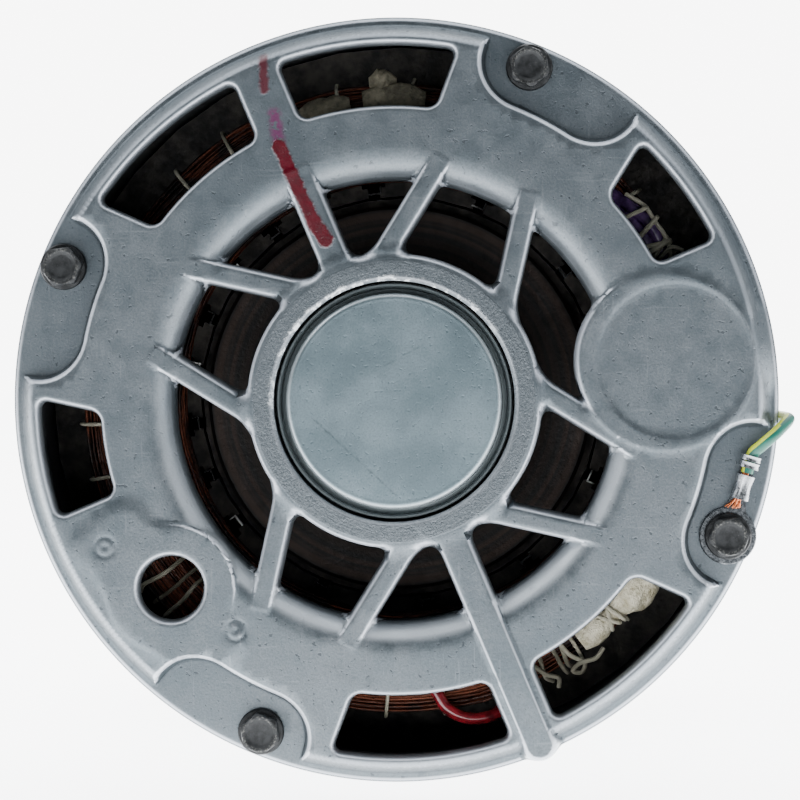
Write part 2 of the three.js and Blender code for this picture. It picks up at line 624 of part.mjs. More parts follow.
// The lead's centreline: out of the terminal, over the rim, then along the shell into the block.
const LEAD_ROUTE = [
  [75.4, -137.5, -15.3],
  [76.6, -137.6, -11.2],
  [78.2, -138.5, -9.6],
  [79.9, -139.0, -8.1],
  [81.2, -138.8, -7.0],
  [82.3, -138.1, -6.0],
  [83.3, -137.1, -5.1],
  [84.1, -135.8, -4.4],
  [84.6, -134.2, -3.9],
  [84.7, -132.5, -3.8],
  [84.7, -125.0, -3.8],
  [84.3, -115.0, -3.8],
  [83.7, -105.0, -3.8],
  [83.4, -89.0, -3.8],
  [83.4, -64.0, -3.8],
  [83.4, -50.0, -3.8],
  [83.4, -38.0, -3.8],
];

function groundLead() {
  return tube(LEAD_ROUTE.map((p) => new THREE.Vector3(...p)), LEAD_RADIUS, 44);
}

function socketBlock() {
  const { rear, front, z, half } = BLOCK;
  const outline = rounded([
    { x: BLOCK_INNER, z: z - half + 1, round: 0 },
    { x: BLOCK_OUTER, z: z - half + 1.4, round: 2 },
    { x: BLOCK_OUTER, z: z + half - 1.4, round: 2 },
    { x: BLOCK_INNER, z: z + half - 1, round: 0 },
  ].reverse(), 3);
  const portRadius = LEAD_RADIUS + GAP;
  const portX = SHELL_OUTER + LEAD_RADIUS + GAP;
  return cut(plate(outline, rear, front), [
    box([SOCKET_FLOOR, BLOCK_OUTER + 1], [SOCKET.rear, SOCKET.front],
      [z - SOCKET.half, z + SOCKET.half]),
    cylinder(portRadius, rear - 1, rear + 6, [portX, z], 16),
  ]);
}

function connectorTab(index) {
  const z = BLOCK.z + (index - (TAB.count - 1) / 2) * TAB.pitch;
  const y = (SOCKET.rear + SOCKET.front) / 2;
  const foot = SOCKET_FLOOR + GAP;
  return box([foot, foot + TAB.height], [y - TAB.width / 2, y + TAB.width / 2],
    [z - TAB.thickness / 2, z + TAB.thickness / 2]);
}

// ---------------------------------------------------------------- stator

function statorCore() {
  const body = ring(STATOR_BORE, STATOR_OUTER, STACK_START, STACK_END);
  const slots = Array.from({ length: SLOTS }, (_, i) => {
    const angle = (360 / SLOTS) * (i + 0.5);
    return [
      bar(angle, [SLOT_TOP, 0], [SLOT_BOTTOM, 0], SLOT_WIDTH, STACK_START - 1, STACK_END + 1),
      bar(angle, [STATOR_BORE - 2, 0], [SLOT_TOP + 0.1, 0], SLOT_MOUTH, STACK_START - 1, STACK_END + 1),
    ];
  }).flat();
  const boltNotches = BOLT_ANGLES.flatMap((angle) => [
    cylinder(BOLT_RADIUS + 0.8, STACK_START - 1, STACK_END + 1, polar(BOLT_CIRCLE, angle), 12),
    bar(angle, [BOLT_CIRCLE, 0], [STATOR_OUTER + 2, 0], 2 * BOLT_RADIUS + 1.6,
      STACK_START - 1, STACK_END + 1),
  ]);
  return cut(body, [...slots, ...boltNotches]);
}

// Two end turns joined by the conductors that lie in the slots.
function winding(inner, outer, overhang, slotFrom, slotTo, firstSlot) {
  const endTurn = (near, far) => {
    const away = Math.sign(far - near);
    const round = Math.min(3.5, (outer - inner) / 2 - 0.4);
    return turned([
      [inner, near],
      [outer, near],
      [outer, far - away * round],
      [outer - round, far],
      [inner + round, far],
      [inner, far - away * round],
    ], MEDIUM);
  };
  const rear = endTurn(STACK_START - 1, STACK_START - overhang);
  const front = endTurn(STACK_END + 1, STACK_END + overhang);
  const conductors = Array.from({ length: SLOTS / 2 }, (_, i) =>
    bar((360 / SLOTS) * (i * 2 + firstSlot + 0.5), [slotFrom, 0], [slotTo, 0], SLOT_WIDTH - 0.8,
      STACK_START - 2, STACK_END + 2));
  return join([rear, front, ...conductors]);
}

function mainWinding() {
  return winding(MAIN_INNER, MAIN_OUTER, END_TURN_LENGTH, MAIN_INNER + GAP, SLOT_BOTTOM - GAP, 0);
}

function startWinding() {
  return winding(START_INNER, START_OUTER, END_TURN_LENGTH - 3, START_INNER + 0.1, START_OUTER - GAP, 1);
}

// A sleeved piece that lies along the rear end turn, between two angles.
const LEAD_TOP = STACK_START - END_TURN_LENGTH - GAP;

function laidOnEndTurn(radius, from, to, halfWidth, height) {
  const corners = sectorCorners(radius - halfWidth, radius + halfWidth, [from, from], [to, to],
    halfWidth * 0.5);
  return plate(rounded(corners, 3), LEAD_TOP - height, LEAD_TOP);
}

function sleevedLead(radius, from, to, thickness, sag) {
  const points = Array.from({ length: 7 }, (_, i) => {
    const t = i / 6;
    const [x, z] = polar(radius + sag * Math.sin(Math.PI * t), from + (to - from) * t);
    return new THREE.Vector3(x, LEAD_TOP - thickness - 0.2 - 1.5 * Math.sin(Math.PI * t), z);
  });
  return tube(points, thickness, 14);
}

// ---------------------------------------------------------------- bearings

// A race: back and land radii, with a groove cut into the land side.
function race(backRadius, landRadius, middle) {
  const inward = Math.sign(landRadius - BEARING.pitch);
  const groove = BEARING.ball + 0.35;
  const open = THREE.MathUtils.radToDeg(Math.acos(Math.abs(landRadius - BEARING.pitch) / groove));
  const arc = [-1, -0.35, 0.35, 1].map((t) => {
    const [r, y] = polar(groove, open * t);
    return [BEARING.pitch + inward * r, middle + y];
  });
  const half = BEARING.width / 2;
  return turned([
    [backRadius, middle - half],
    [landRadius, middle - half],
    ...arc,
    [landRadius, middle + half],
    [backRadius, middle + half],
  ], MEDIUM);
}

function bearingOuterRing(middle) {
  return race(BEARING.outer, BEARING.pitch + 2.2, middle);
}

function bearingInnerRing(middle) {
  return race(BEARING.bore, BEARING.pitch - 2.2, middle);
}

function ballCage(middle) {
  const cage = ring(BEARING.pitch - 0.8, BEARING.pitch + 0.8, middle + 1.4, middle + 4, 2 * BEARING.balls);
  const balls = Array.from({ length: BEARING.balls }, (_, i) => {
    const [x, z] = polar(BEARING.pitch, (360 / BEARING.balls) * i);
    return solidOf(new THREE.SphereGeometry(BEARING.ball, 8, 5).translate(x, middle, z));
  });
  return join([cage, ...balls]);
}

function waveSpring() {
  const middle = REAR_LIP - SPRING_SPACE / 2;
  const flat = SPRING.thickness / 2;
  const profile = [[SPRING.inner, -flat], [SPRING.outer, -flat], [SPRING.outer, flat], [SPRING.inner, flat]];
  const points = [...profile, profile[0]].map(([r, y]) => new THREE.Vector2(r, y));
  const geometry = new THREE.LatheGeometry(points, MEDIUM);
  const place = geometry.attributes.position;
  for (let i = 0; i < place.count; i += 1) {
    const angle = Math.atan2(place.getZ(i), place.getX(i));
    place.setY(i, middle + place.getY(i) + SPRING.wave * Math.sin(SPRING.waves * angle));
  }
  return solidOf(geometry);
}

function snapRing() {
  const start = FRONT_BEARING - BEARING.width / 2 - GAP - 1.2;
  const body = ring(BEARING.outer - 2.2, BEARING.outer, start, start + 1.2, MEDIUM);
  return body.subtract(bar(AXIS_ANGLE, [10, 0], [30, 0], 5, start - 1, start + 3));
}

// ---------------------------------------------------------------- rotor

const SHAFT_REAR = REAR_BEARING - BEARING.width / 2 - 1.4;
const REAR_SHOULDER = REAR_BEARING + BEARING.width / 2 + GAP;
const FRONT_SHOULDER = FRONT_BEARING - BEARING.width / 2 - GAP;
const SHAFT_FRONT = WHEEL_HUB.front + 8;

function shaft() {
  const chamfer = 0.8;
  const body = turned([
    [0, SHAFT_REAR],
    [JOURNAL_RADIUS - chamfer, SHAFT_REAR],
    [JOURNAL_RADIUS, SHAFT_REAR + chamfer],
    [JOURNAL_RADIUS, REAR_SHOULDER],
    [ROTOR_SEAT_RADIUS, REAR_SHOULDER],
    [ROTOR_SEAT_RADIUS, FRONT_SHOULDER],
    [JOURNAL_RADIUS, FRONT_SHOULDER],
    [JOURNAL_RADIUS, FRONT_BEARING + BEARING.width / 2],
    [SHAFT_RADIUS, FRONT_BEARING + BEARING.width / 2 + 0.4],
    [SHAFT_RADIUS, SHAFT_FRONT - chamfer],
    [SHAFT_RADIUS - chamfer, SHAFT_FRONT],
    [0, SHAFT_FRONT],
  ], MEDIUM);
  const flat = box([-12, 12], [2.5, SHAFT_FRONT + 1], [SHAFT_RADIUS - SHAFT_FLAT, 20]);
  return body.subtract(flat);
}

function rotorCore() {
  return ring(ROTOR_SEAT_RADIUS + GAP, ROTOR_RADIUS, STACK_START, STACK_END);
}

function endRing(face, away) {
  const far = face + away * END_RING.height;
  return turned([
    [END_RING.inner, face],
    [END_RING.outer, face],
    [END_RING.outer, far - away * 1.5],
    [END_RING.outer - 1.5, far],
    [END_RING.inner + 9, far],
    [END_RING.inner + 8, far - away * 1.6],
    [END_RING.inner + 3, far - away * 1.6],
    [END_RING.inner + 1, far],
    [END_RING.inner, far],
  ], MEDIUM);
}

function frontEndRing() {
  const face = STACK_END + GAP;
  const blades = Array.from({ length: COOLING_BLADES }, (_, i) =>
    bar((360 / COOLING_BLADES) * i, [END_RING.inner + 6, 0], [END_RING.outer - 1, 0], 2.4,
      face + END_RING.height - 2, face + END_RING.height + 9));
  return join([endRing(face, 1), ...blades]);
}

function shaftSlinger() {
  const inner = SHAFT_RADIUS + GAP;
  return turned([
    [inner, FRONT_WEB + 1.8], [inner + 3.5, FRONT_WEB + 1.8], [inner + 6, FRONT_WEB + 3.4],
    [inner + 6, FRONT_WEB + 4.2], [inner + 2.6, FRONT_WEB + 4.6], [inner + 2.2, FRONT_WEB + 8],
    [inner, FRONT_WEB + 8],
  ], MEDIUM);
}

// ---------------------------------------------------------------- fan wheel

const rivetCentres = Array.from({ length: RIVET.count }, (_, i) =>
  polar(RIVET.circle, (360 / RIVET.count) * (i + 0.5)));
const backPlateFront = WHEEL_BACK + WHEEL_SHEET;
const hubFlange = [backPlateFront + GAP, backPlateFront + GAP + WHEEL_HUB.flangeThickness];

function wheelHub() {
  const body = turned([
    [SHAFT_RADIUS + GAP, WHEEL_HUB.rear],
    [WHEEL_HUB.radius - 0.8, WHEEL_HUB.rear],
    [WHEEL_HUB.radius, WHEEL_HUB.rear + 0.8],
    [WHEEL_HUB.radius, hubFlange[0]],
    [WHEEL_HUB.flange, hubFlange[0]],
    [WHEEL_HUB.flange, hubFlange[1]],
    [WHEEL_HUB.radius + 2, hubFlange[1]],
    [WHEEL_HUB.radius, hubFlange[1] + 2],
    [WHEEL_HUB.radius, WHEEL_HUB.front - 0.8],
    [WHEEL_HUB.radius - 0.8, WHEEL_HUB.front],
    [SHAFT_RADIUS + GAP, WHEEL_HUB.front],
  ], MEDIUM);
  const screwHole = solidOf(new THREE.CylinderGeometry(
    SET_SCREW.radius + GAP, SET_SCREW.radius + GAP, 16, SMALL)
    .rotateX(Math.PI / 2).translate(0, SET_SCREW.at, SHAFT_RADIUS + 6));
  const rivetHoles = rivetCentres.map((centre) =>
    cylinder(RIVET.radius + GAP, hubFlange[0] - 1, hubFlange[1] + 1, centre, TINY));
  return cut(body, [screwHole, ...rivetHoles]);
}

function hubSetScrew() {
  const tip = SHAFT_RADIUS - SHAFT_FLAT + GAP;
  const length = WHEEL_HUB.radius - 0.6 - tip;
  const body = solidOf(new THREE.CylinderGeometry(SET_SCREW.radius, SET_SCREW.radius, length, SMALL)
    .rotateX(Math.PI / 2).translate(0, SET_SCREW.at, tip + length / 2));
  const socket = solidOf(new THREE.CylinderGeometry(1.7, 1.7, 3, 6)
    .rotateX(Math.PI / 2).translate(0, SET_SCREW.at, tip + length));
  return body.subtract(socket);
}

function wheelBackplate() {
  const body = turned([
    [WHEEL_HUB.radius + GAP, WHEEL_BACK],
    [LIP_RADIUS + WHEEL_SHEET, WHEEL_BACK],
    [LIP_RADIUS + WHEEL_SHEET, backPlateFront + WHEEL_LIP],
    [LIP_RADIUS, backPlateFront + WHEEL_LIP],
    [LIP_RADIUS, backPlateFront],
    [WHEEL_HUB.radius + GAP, backPlateFront],
  ]);
  return cut(body, rivetCentres.map((centre) =>
    cylinder(RIVET.radius + GAP, WHEEL_BACK - 1, backPlateFront + 1, centre, TINY)));
}

function bladeOutline() {
  const steps = 2;
  const side = (offset) =>
    Array.from({ length: steps + 1 }, (_, i) => {
      const t = i / steps;
      const radius = BLADE_ROOT_RADIUS + BLADE_LENGTH * t;
      const offAngle = THREE.MathUtils.radToDeg(offset / radius) / Math.cos(radians(55 * t));
      return polar(radius, BLADE_SWEEP * t * t + offAngle);
    });
  return [...side(BLADE_THICKNESS / 2), ...side(-BLADE_THICKNESS / 2).reverse()];
}

function wheelBlades() {
  const rear = backPlateFront + GAP;
  const front = WHEEL_FRONT - WHEEL_SHEET - GAP;
  const blade = plate(bladeOutline(), rear, front);
  const blades = Array.from({ length: BLADES }, (_, i) => swung(blade, (360 / BLADES) * i));
  const band = (low) => ring(BLADE_ROOT_RADIUS + 0.2, BLADE_TIP_RADIUS - 0.2, low, low + 1, BLADES);
  return join([band(rear), ...blades, band(front - 1)]);
}

function wheelInletRing() {
  const inside = WHEEL_FRONT - WHEEL_SHEET;
  return turned([
    [LIP_RADIUS, inside],
    [LIP_RADIUS, inside - WHEEL_LIP],
    [LIP_RADIUS + WHEEL_SHEET, inside - WHEEL_LIP],
    [LIP_RADIUS + WHEEL_SHEET, WHEEL_FRONT],
    [INLET_RADIUS + 2.4, WHEEL_FRONT],
    [INLET_RADIUS, WHEEL_FRONT - 2.4],
    [INLET_RADIUS, WHEEL_FRONT - 4.5],
    [INLET_RADIUS + WHEEL_SHEET, WHEEL_FRONT - 4.5],
    [INLET_RADIUS + 2.8, inside],
  ]);
}

function wheelRivet(index) {
  const centre = rivetCentres[index];
  const rearHead = [WHEEL_BACK - GAP - RIVET.height, WHEEL_BACK - GAP];
  const frontHead = [hubFlange[1] + GAP, hubFlange[1] + GAP + RIVET.height];
  return join([
    cylinder(RIVET.head, ...rearHead, centre, TINY),
    cylinder(RIVET.radius, rearHead[0] + 0.1, frontHead[1] - 0.1, centre, TINY),
    cylinder(RIVET.head, ...frontHead, centre, TINY),
  ]);
}

// ---------------------------------------------------------------- the assembly

const fan = new THREE.Group();

function place(name, solid, material) {
  const mesh = new THREE.Mesh(geometryOf(solid), material);
  mesh.name = name;
  fan.add(mesh);
}

place("rear_end_shield", rearEndShield(), castAluminium);
place("rear_bearing_cap", rearBearingCap(), zincPlate);
place("motor_shell", motorShell(), shellSteel);
place("front_end_shield", frontEndShield(), castAluminium);
BOLT_ANGLES.forEach((_, i) => place("through_bolt_" + (i + 1), throughBolt(i), blackOxide));
BOLT_ANGLES.forEach((_, i) => place("clamp_nut_" + (i + 1), clampNut(i), blackOxide));
place("ring_terminal", ringTerminal(), tinPlate);
place("ground_lead", groundLead(), greenLead);
place("socket_block", socketBlock(), nylon);
for (let i = 0; i < TAB.count; i += 1) place("connector_tab_" + (i + 1), connectorTab(i), brass);

place("stator_core", statorCore(), coreSteel);
place("main_winding", mainWinding(), copperWire);
place("start_winding", startWinding(), copperWire);
place("thermal_protector", laidOnEndTurn(MAIN_OUTER - 5.5, AXIS_ANGLE + 194, AXIS_ANGLE + 213, 3.6, 5),
  creamSleeve);
place("splice_sleeve_1", laidOnEndTurn(MAIN_OUTER - 5, AXIS_ANGLE - 27, AXIS_ANGLE - 17, 2.6, 4),
  creamSleeve);
place("splice_sleeve_2", laidOnEndTurn(MAIN_OUTER - 5, AXIS_ANGLE - 13, AXIS_ANGLE - 5, 2.4, 4),
  creamSleeve);
place("red_winding_lead", sleevedLead(MAIN_OUTER - 3.5, AXIS_ANGLE + 160, AXIS_ANGLE + 177, 1.5, 4),
  redSleeve);
place("purple_winding_lead", sleevedLead(MAIN_OUTER - 5, AXIS_ANGLE - 86, AXIS_ANGLE - 66, 1.5, 2),
  purpleSleeve);

place("rear_bearing_outer_ring", bearingOuterRing(REAR_BEARING), bearingSteel);
place("rear_bearing_inner_ring", bearingInnerRing(REAR_BEARING), bearingSteel);
place("rear_bearing_ball_cage", ballCage(REAR_BEARING), bearingSteel);
place("bearing_wave_spring", waveSpring(), springSteel);
place("front_bearing_outer_ring", bearingOuterRing(FRONT_BEARING), bearingSteel);
place("front_bearing_inner_ring", bearingInnerRing(FRONT_BEARING), bearingSteel);
place("front_bearing_ball_cage", ballCage(FRONT_BEARING), bearingSteel);
place("front_bearing_snap_ring", snapRing(), springSteel);

place("shaft", shaft(), shaftSteel);
place("rotor_core", rotorCore(), coreSteel);
place("rotor_end_ring_rear", endRing(STACK_START - GAP, -1), darkAluminium);
place("rotor_end_ring_front", frontEndRing(), darkAluminium);
place("shaft_slinger", shaftSlinger(), rubber);
place("wheel_hub", wheelHub(), zincPlate);
place("hub_set_screw", hubSetScrew(), blackOxide);
place("wheel_backplate", wheelBackplate(), galvanised);
place("wheel_blades", wheelBlades(), galvanised);
place("wheel_inlet_ring", wheelInletRing(), galvanised);
rivetCentres.forEach((_, i) => place("wheel_rivet_" + (i + 1), wheelRivet(i), zincPlate));

export default fan;
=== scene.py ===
# %% [markdown]
# # A combustion fan, seen from its motor's rear end
# The motor is a cast shield, a steel shell and a second cast shield, clamped together by four long
# bolts, with a fan wheel on its shaft. The CAD model fixes every size and joint. This lesson makes
# the finer surface: castings with rounded edges, wound wire, crimped terminals, curved blades.

# %% Load the fixed model
import math

import bpy
import numpy as np
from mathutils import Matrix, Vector
from mathutils.geometry import delaunay_2d_cdt


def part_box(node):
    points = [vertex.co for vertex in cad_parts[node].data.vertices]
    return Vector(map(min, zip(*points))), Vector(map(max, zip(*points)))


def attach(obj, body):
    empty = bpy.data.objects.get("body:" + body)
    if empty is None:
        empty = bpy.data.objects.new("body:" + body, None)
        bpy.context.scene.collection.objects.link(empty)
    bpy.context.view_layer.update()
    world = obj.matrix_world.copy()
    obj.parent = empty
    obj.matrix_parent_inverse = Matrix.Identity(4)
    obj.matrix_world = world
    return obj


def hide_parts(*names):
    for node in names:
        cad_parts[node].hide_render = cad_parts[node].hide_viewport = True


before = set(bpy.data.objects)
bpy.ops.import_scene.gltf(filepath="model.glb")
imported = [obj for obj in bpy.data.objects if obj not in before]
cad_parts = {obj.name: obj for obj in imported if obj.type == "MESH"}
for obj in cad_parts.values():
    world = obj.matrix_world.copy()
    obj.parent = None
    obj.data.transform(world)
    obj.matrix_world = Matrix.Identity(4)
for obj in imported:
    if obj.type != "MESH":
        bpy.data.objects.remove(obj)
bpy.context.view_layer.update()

MM = 0.001

# %% [markdown]
# ## Sizes
# Lengths are millimetres and angles degrees, as on a drawing. The shaft lies along Y, the rear
# face looks towards -Y, and angles run from +X towards +Z. Main sizes are read off the CAD nodes.

# %% Main sizes
rear_low, rear_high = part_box("rear_end_shield")
shell_low, shell_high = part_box("motor_shell")
front_low, front_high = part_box("front_end_shield")
cap_low, cap_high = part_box("rear_bearing_cap")
core_low, core_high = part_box("stator_core")
RIM = rear_high.z / MM
FACE = rear_low.y / MM + 1.0
RIM_DROP = 5.0
AXIS = 113.0
BOLT_ANGLES = [AXIS - 45 + 90 * i for i in range(4)]
BOLT_CIRCLE = RIM - 5.4
EYE = 47.5
EYE_ROUND = 6.5
HUB = 31.8
CAP_BORE = 25.8
HOLE_ANGLE, HOLE_AT, HOLE_RADIUS = 220.0, 62.6, 6.86
DISC_ANGLE, DISC_AT, DISC_RADIUS = 8.4, 58.6, 19.5
print("rim radius", round(RIM, 2), "rear face", round(FACE, 2))
for label, low, high in (("bearing cap", cap_low, cap_high), ("front shield", front_low, front_high)):
    print(label, "takes", [round(v / MM, 1) for v in high - low], "mm")


def polar(radius, angle):
    return np.array([radius * math.cos(math.radians(angle)), radius * math.sin(math.radians(angle))])


# %% [markdown]
# ## Camera, light and floor
# The camera looks along the shaft, a little up and to the right of it, so that the walls of the
# vents show on the left and below. Soft lights suit a matt casting: a key on the left, a weak fill
# on the right, one overhead and a stronger one behind.

# %% Camera
VIEW_FROM = Vector((0.022, FACE * MM - 0.60, 0.014))
LOOK_AT = Vector((0.0013, FACE * MM, 0.0003))
VIEW_WIDTH = 0.1709
SENSOR_WIDTH = 36
camera = bpy.data.objects.new("camera", bpy.data.cameras.new("camera"))
bpy.context.scene.collection.objects.link(camera)
camera.location = VIEW_FROM
camera.rotation_euler = (LOOK_AT - VIEW_FROM).to_track_quat("-Z", "Y").to_euler()
camera.data.lens = SENSOR_WIDTH * (LOOK_AT - VIEW_FROM).length / VIEW_WIDTH
camera.data.clip_start = 0.01
bpy.context.scene.camera = camera

# %% Lights


def soft_light(name, place, size, power, tint=(1, 1, 1)):
    lamp = bpy.data.lights.new(name, "AREA")
    lamp.size = size
    lamp.energy = power
    lamp.color = tint
    holder = bpy.data.objects.new(name, lamp)
    bpy.context.scene.collection.objects.link(holder)
    holder.location = place
    holder.rotation_euler = (Vector((0, -0.07, 0)) - Vector(place)).to_track_quat("-Z", "Y").to_euler()
    return holder


soft_light("key", (-0.85, -0.6, 0.85), 0.4, 4)
soft_light("fill", (1.0, -0.45, 0.1), 0.45, 1.6, (0.93, 0.96, 1.0))
soft_light("overhead", (0.05, -0.42, 1.0), 0.5, 1.6)
soft_light("behind", (0.2, 0.9, 0.7), 0.8, 6)

# %% [markdown]
# The world is a light tent: grey walls, a bright top, a dim patch behind the camera and a white
# screen behind the object. A flat face that looks at the camera mirrors the dim patch, and rounded
# edges mirror the walls and the top. The floor glows behind the object and fades in front of it, or
# it would light the faces from below.

# %% Light tent
world = bpy.data.worlds.new("studio")
world.use_nodes = True
tent = world.node_tree
way = tent.nodes.new("ShaderNodeSeparateXYZ")
tent.links.new(tent.nodes.new("ShaderNodeTexCoord").outputs["Generated"], way.inputs[0])


def tent_mix(axis, low, high, first, second):
    """Mixes two colours over a range of the direction's Y (-1 behind the camera) or Z (1 overhead)."""
    share = tent.nodes.new("ShaderNodeMapRange")
    share.interpolation_type = "SMOOTHSTEP"
    share.inputs["From Min"].default_value = low
    share.inputs["From Max"].default_value = high
    tent.links.new(way.outputs[axis], share.inputs["Value"])
    tone = tent.nodes.new("ShaderNodeMix")
    tone.data_type = "RGBA"
    tent.links.new(share.outputs[0], tone.inputs[0])
    for socket, value in ((tone.inputs[6], first), (tone.inputs[7], second)):
        if isinstance(value, tuple):
            socket.default_value = (*value, 1)
        else:
            tent.links.new(value, socket)
    return tone.outputs[2]


walls = tent_mix("Z", 0.2, 0.95, (0.62, 0.65, 0.69), (3.0, 3.1, 3.2))
sides = tent_mix("Y", -0.84, -0.05, (0.035, 0.042, 0.05), walls)
screen = tent_mix("Y", 0.955, 0.975, sides, (8.0, 8.0, 8.0))
tent.links.new(screen, tent.nodes["Background"].inputs["Color"])
tent.nodes["Background"].inputs["Strength"].default_value = 1.0
bpy.context.scene.world = world

# %% Floor
floor_mesh = bpy.data.meshes.new("floor")
FLOOR = min(rear_low.z, shell_low.z) - 0.004
floor_mesh.from_pydata([(-3, -3, FLOOR), (3, -3, FLOOR), (3, 3, FLOOR), (-3, 3, FLOOR)], [], [(0, 1, 2, 3)])
floor = bpy.data.objects.new("floor", floor_mesh)
bpy.context.scene.collection.objects.link(floor)
floor_paint = bpy.data.materials.new("floor_paint")
floor_paint.use_nodes = True
floor_shader = floor_paint.node_tree.nodes["Principled BSDF"]
floor_shader.inputs["Base Color"].default_value = (0.95, 0.95, 0.95, 1)
floor_shader.inputs["Roughness"].default_value = 0.8
floor_shader.inputs["Emission Strength"].default_value = 6.2
floor_tree = floor_paint.node_tree
floor_place = floor_tree.nodes.new("ShaderNodeSeparateXYZ")
floor_tree.links.new(floor_tree.nodes.new("ShaderNodeTexCoord").outputs["Object"], floor_place.inputs[0])
floor_glow = floor_tree.nodes.new("ShaderNodeMapRange")
floor_glow.interpolation_type = "SMOOTHSTEP"
for socket, value in (("From Min", -0.5), ("From Max", -0.04), ("To Min", 0.06), ("To Max", 1.0)):
    floor_glow.inputs[socket].default_value = value
floor_tree.links.new(floor_place.outputs["Y"], floor_glow.inputs["Value"])
floor_tree.links.new(floor_glow.outputs[0], floor_shader.inputs["Emission Color"])
floor_mesh.materials.append(floor_paint)

# %% [markdown]
# ## Node helpers
# A finish or a Geometry Nodes recipe is a small program. Writing `1 - mask` is easier to read than
# wiring a Math node, so a Signal wraps one socket and turns ordinary sums into nodes.

# %% Signals and node trees


class Signal:
    """One output socket that can be used in sums."""

    def __init__(self, shop, output):
        self.shop = shop
        self.output = output

    def __add__(self, other):
        return self.shop.sum("ADD", self, other)

    def __radd__(self, other):
        return self.shop.sum("ADD", other, self)

    def __sub__(self, other):
        return self.shop.sum("SUBTRACT", self, other)

    def __rsub__(self, other):
        return self.shop.sum("SUBTRACT", other, self)

    def __mul__(self, other):
        return self.shop.sum("MULTIPLY", self, other)

    def __rmul__(self, other):
        return self.shop.sum("MULTIPLY", other, self)

    def __truediv__(self, other):
        return self.shop.sum("DIVIDE", self, other)


class NodeShop:
    """Adds nodes to a tree: settings first, then a value or a link for each socket."""

    def __init__(self, tree):
        self.tree = tree

    def node(self, kind, settings=None, inputs=None):
        made = self.tree.nodes.new(kind)
        for key, value in (settings or {}).items():
            setattr(made, key, value)
        for key, value in (inputs or {}).items():
            self.feed(made.inputs[key], value)
        return made

    def feed(self, socket, value):
        if isinstance(value, Signal):
            self.tree.links.new(value.output, socket)
        elif hasattr(value, "is_output"):
            self.tree.links.new(value, socket)
        else:
            socket.default_value = value

    def sum(self, operation, first, second=None):
        inputs = {0: first} if second is None else {0: first, 1: second}
        return Signal(self, self.node("ShaderNodeMath", {"operation": operation}, inputs).outputs[0])


class Finish(NodeShop):
    """A material with one Principled shader and coordinates in millimetres."""

    def __init__(self, name, color, metallic, roughness, **constants):
        self.material = bpy.data.materials.new(name)
        self.material.use_nodes = True
        super().__init__(self.material.node_tree)
        self.tree.nodes.clear()
        self.shader = self.node("ShaderNodeBsdfPrincipled", None, {
            "Base Color": (*color, 1), "Metallic": metallic, "Roughness": roughness})
        for key, value in constants.items():
            self.feed(self.shader.inputs[key.replace("_", " ")], value)
        self.node("ShaderNodeOutputMaterial", None, {"Surface": self.shader.outputs[0]})
        place = self.node("ShaderNodeTexCoord").outputs["Object"]
        self.place = self.node("ShaderNodeVectorMath", {"operation": "SCALE"}, {0: place, "Scale": 1000}).outputs[0]
        parts = self.node("ShaderNodeSeparateXYZ", None, {0: self.place}).outputs
        self.x, self.y, self.z = (Signal(self, part) for part in parts)

    def noise(self, size, detail=3.0, roughness=0.55, stretch=(1, 1, 1)):
        """Soft noise whose blobs are about size millimetres across, longer along a small stretch."""
        vector = self.node("ShaderNodeVectorMath", {"operation": "MULTIPLY"}, {0: self.place, 1: stretch})
        made = self.node("ShaderNodeTexNoise", None, {
            "Vector": vector.outputs[0], "Scale": 1 / size, "Detail": detail, "Roughness": roughness})
        return Signal(self, made.outputs[0])

    def attribute(self, name):
        made = self.node("ShaderNodeAttribute", {"attribute_name": name})
        return Signal(self, made.outputs["Fac"])

    def ramp(self, signal, low, high, bottom=0.0, top=1.0):
        made = self.node("ShaderNodeMapRange", {"interpolation_type": "SMOOTHSTEP"}, {
            "Value": signal, "From Min": low, "From Max": high, "To Min": bottom, "To Max": top})
        return Signal(self, made.outputs[0])

    def mix(self, mask, first, second):
        four = [(*c, 1) if isinstance(c, tuple) else c for c in (first, second)]
        made = self.node("ShaderNodeMix", {"data_type": "RGBA"}, {0: mask, 6: four[0], 7: four[1]})
        return Signal(self, made.outputs[2])

    def radius(self):
        return self.sum("SQRT", self.x * self.x + self.z * self.z)

    def paint(self, **sockets):
        for key, value in sockets.items():
            self.feed(self.shader.inputs[key.replace("_", " ")], value)

    def two_tone(self, dark, light, size, detail=3.0, low=0.3, high=0.7):
        """Colours that drift between two tones in blobs of a size."""
        self.paint(Base_Color=self.mix(self.ramp(self.noise(size, detail), low, high), dark, light))

    def uneven_gloss(self, size, detail, smooth, rough):
        self.paint(Roughness=self.ramp(self.noise(size, detail), 0.3, 0.7, smooth, rough))

    def bump(self, height, depth):
        """Raises the surface by height times depth millimetres."""
        made = self.node("ShaderNodeBump", None, {
            "Strength": 1.0, "Distance": depth * MM, "Height": height})
        self.feed(self.shader.inputs["Normal"], made.outputs[0])


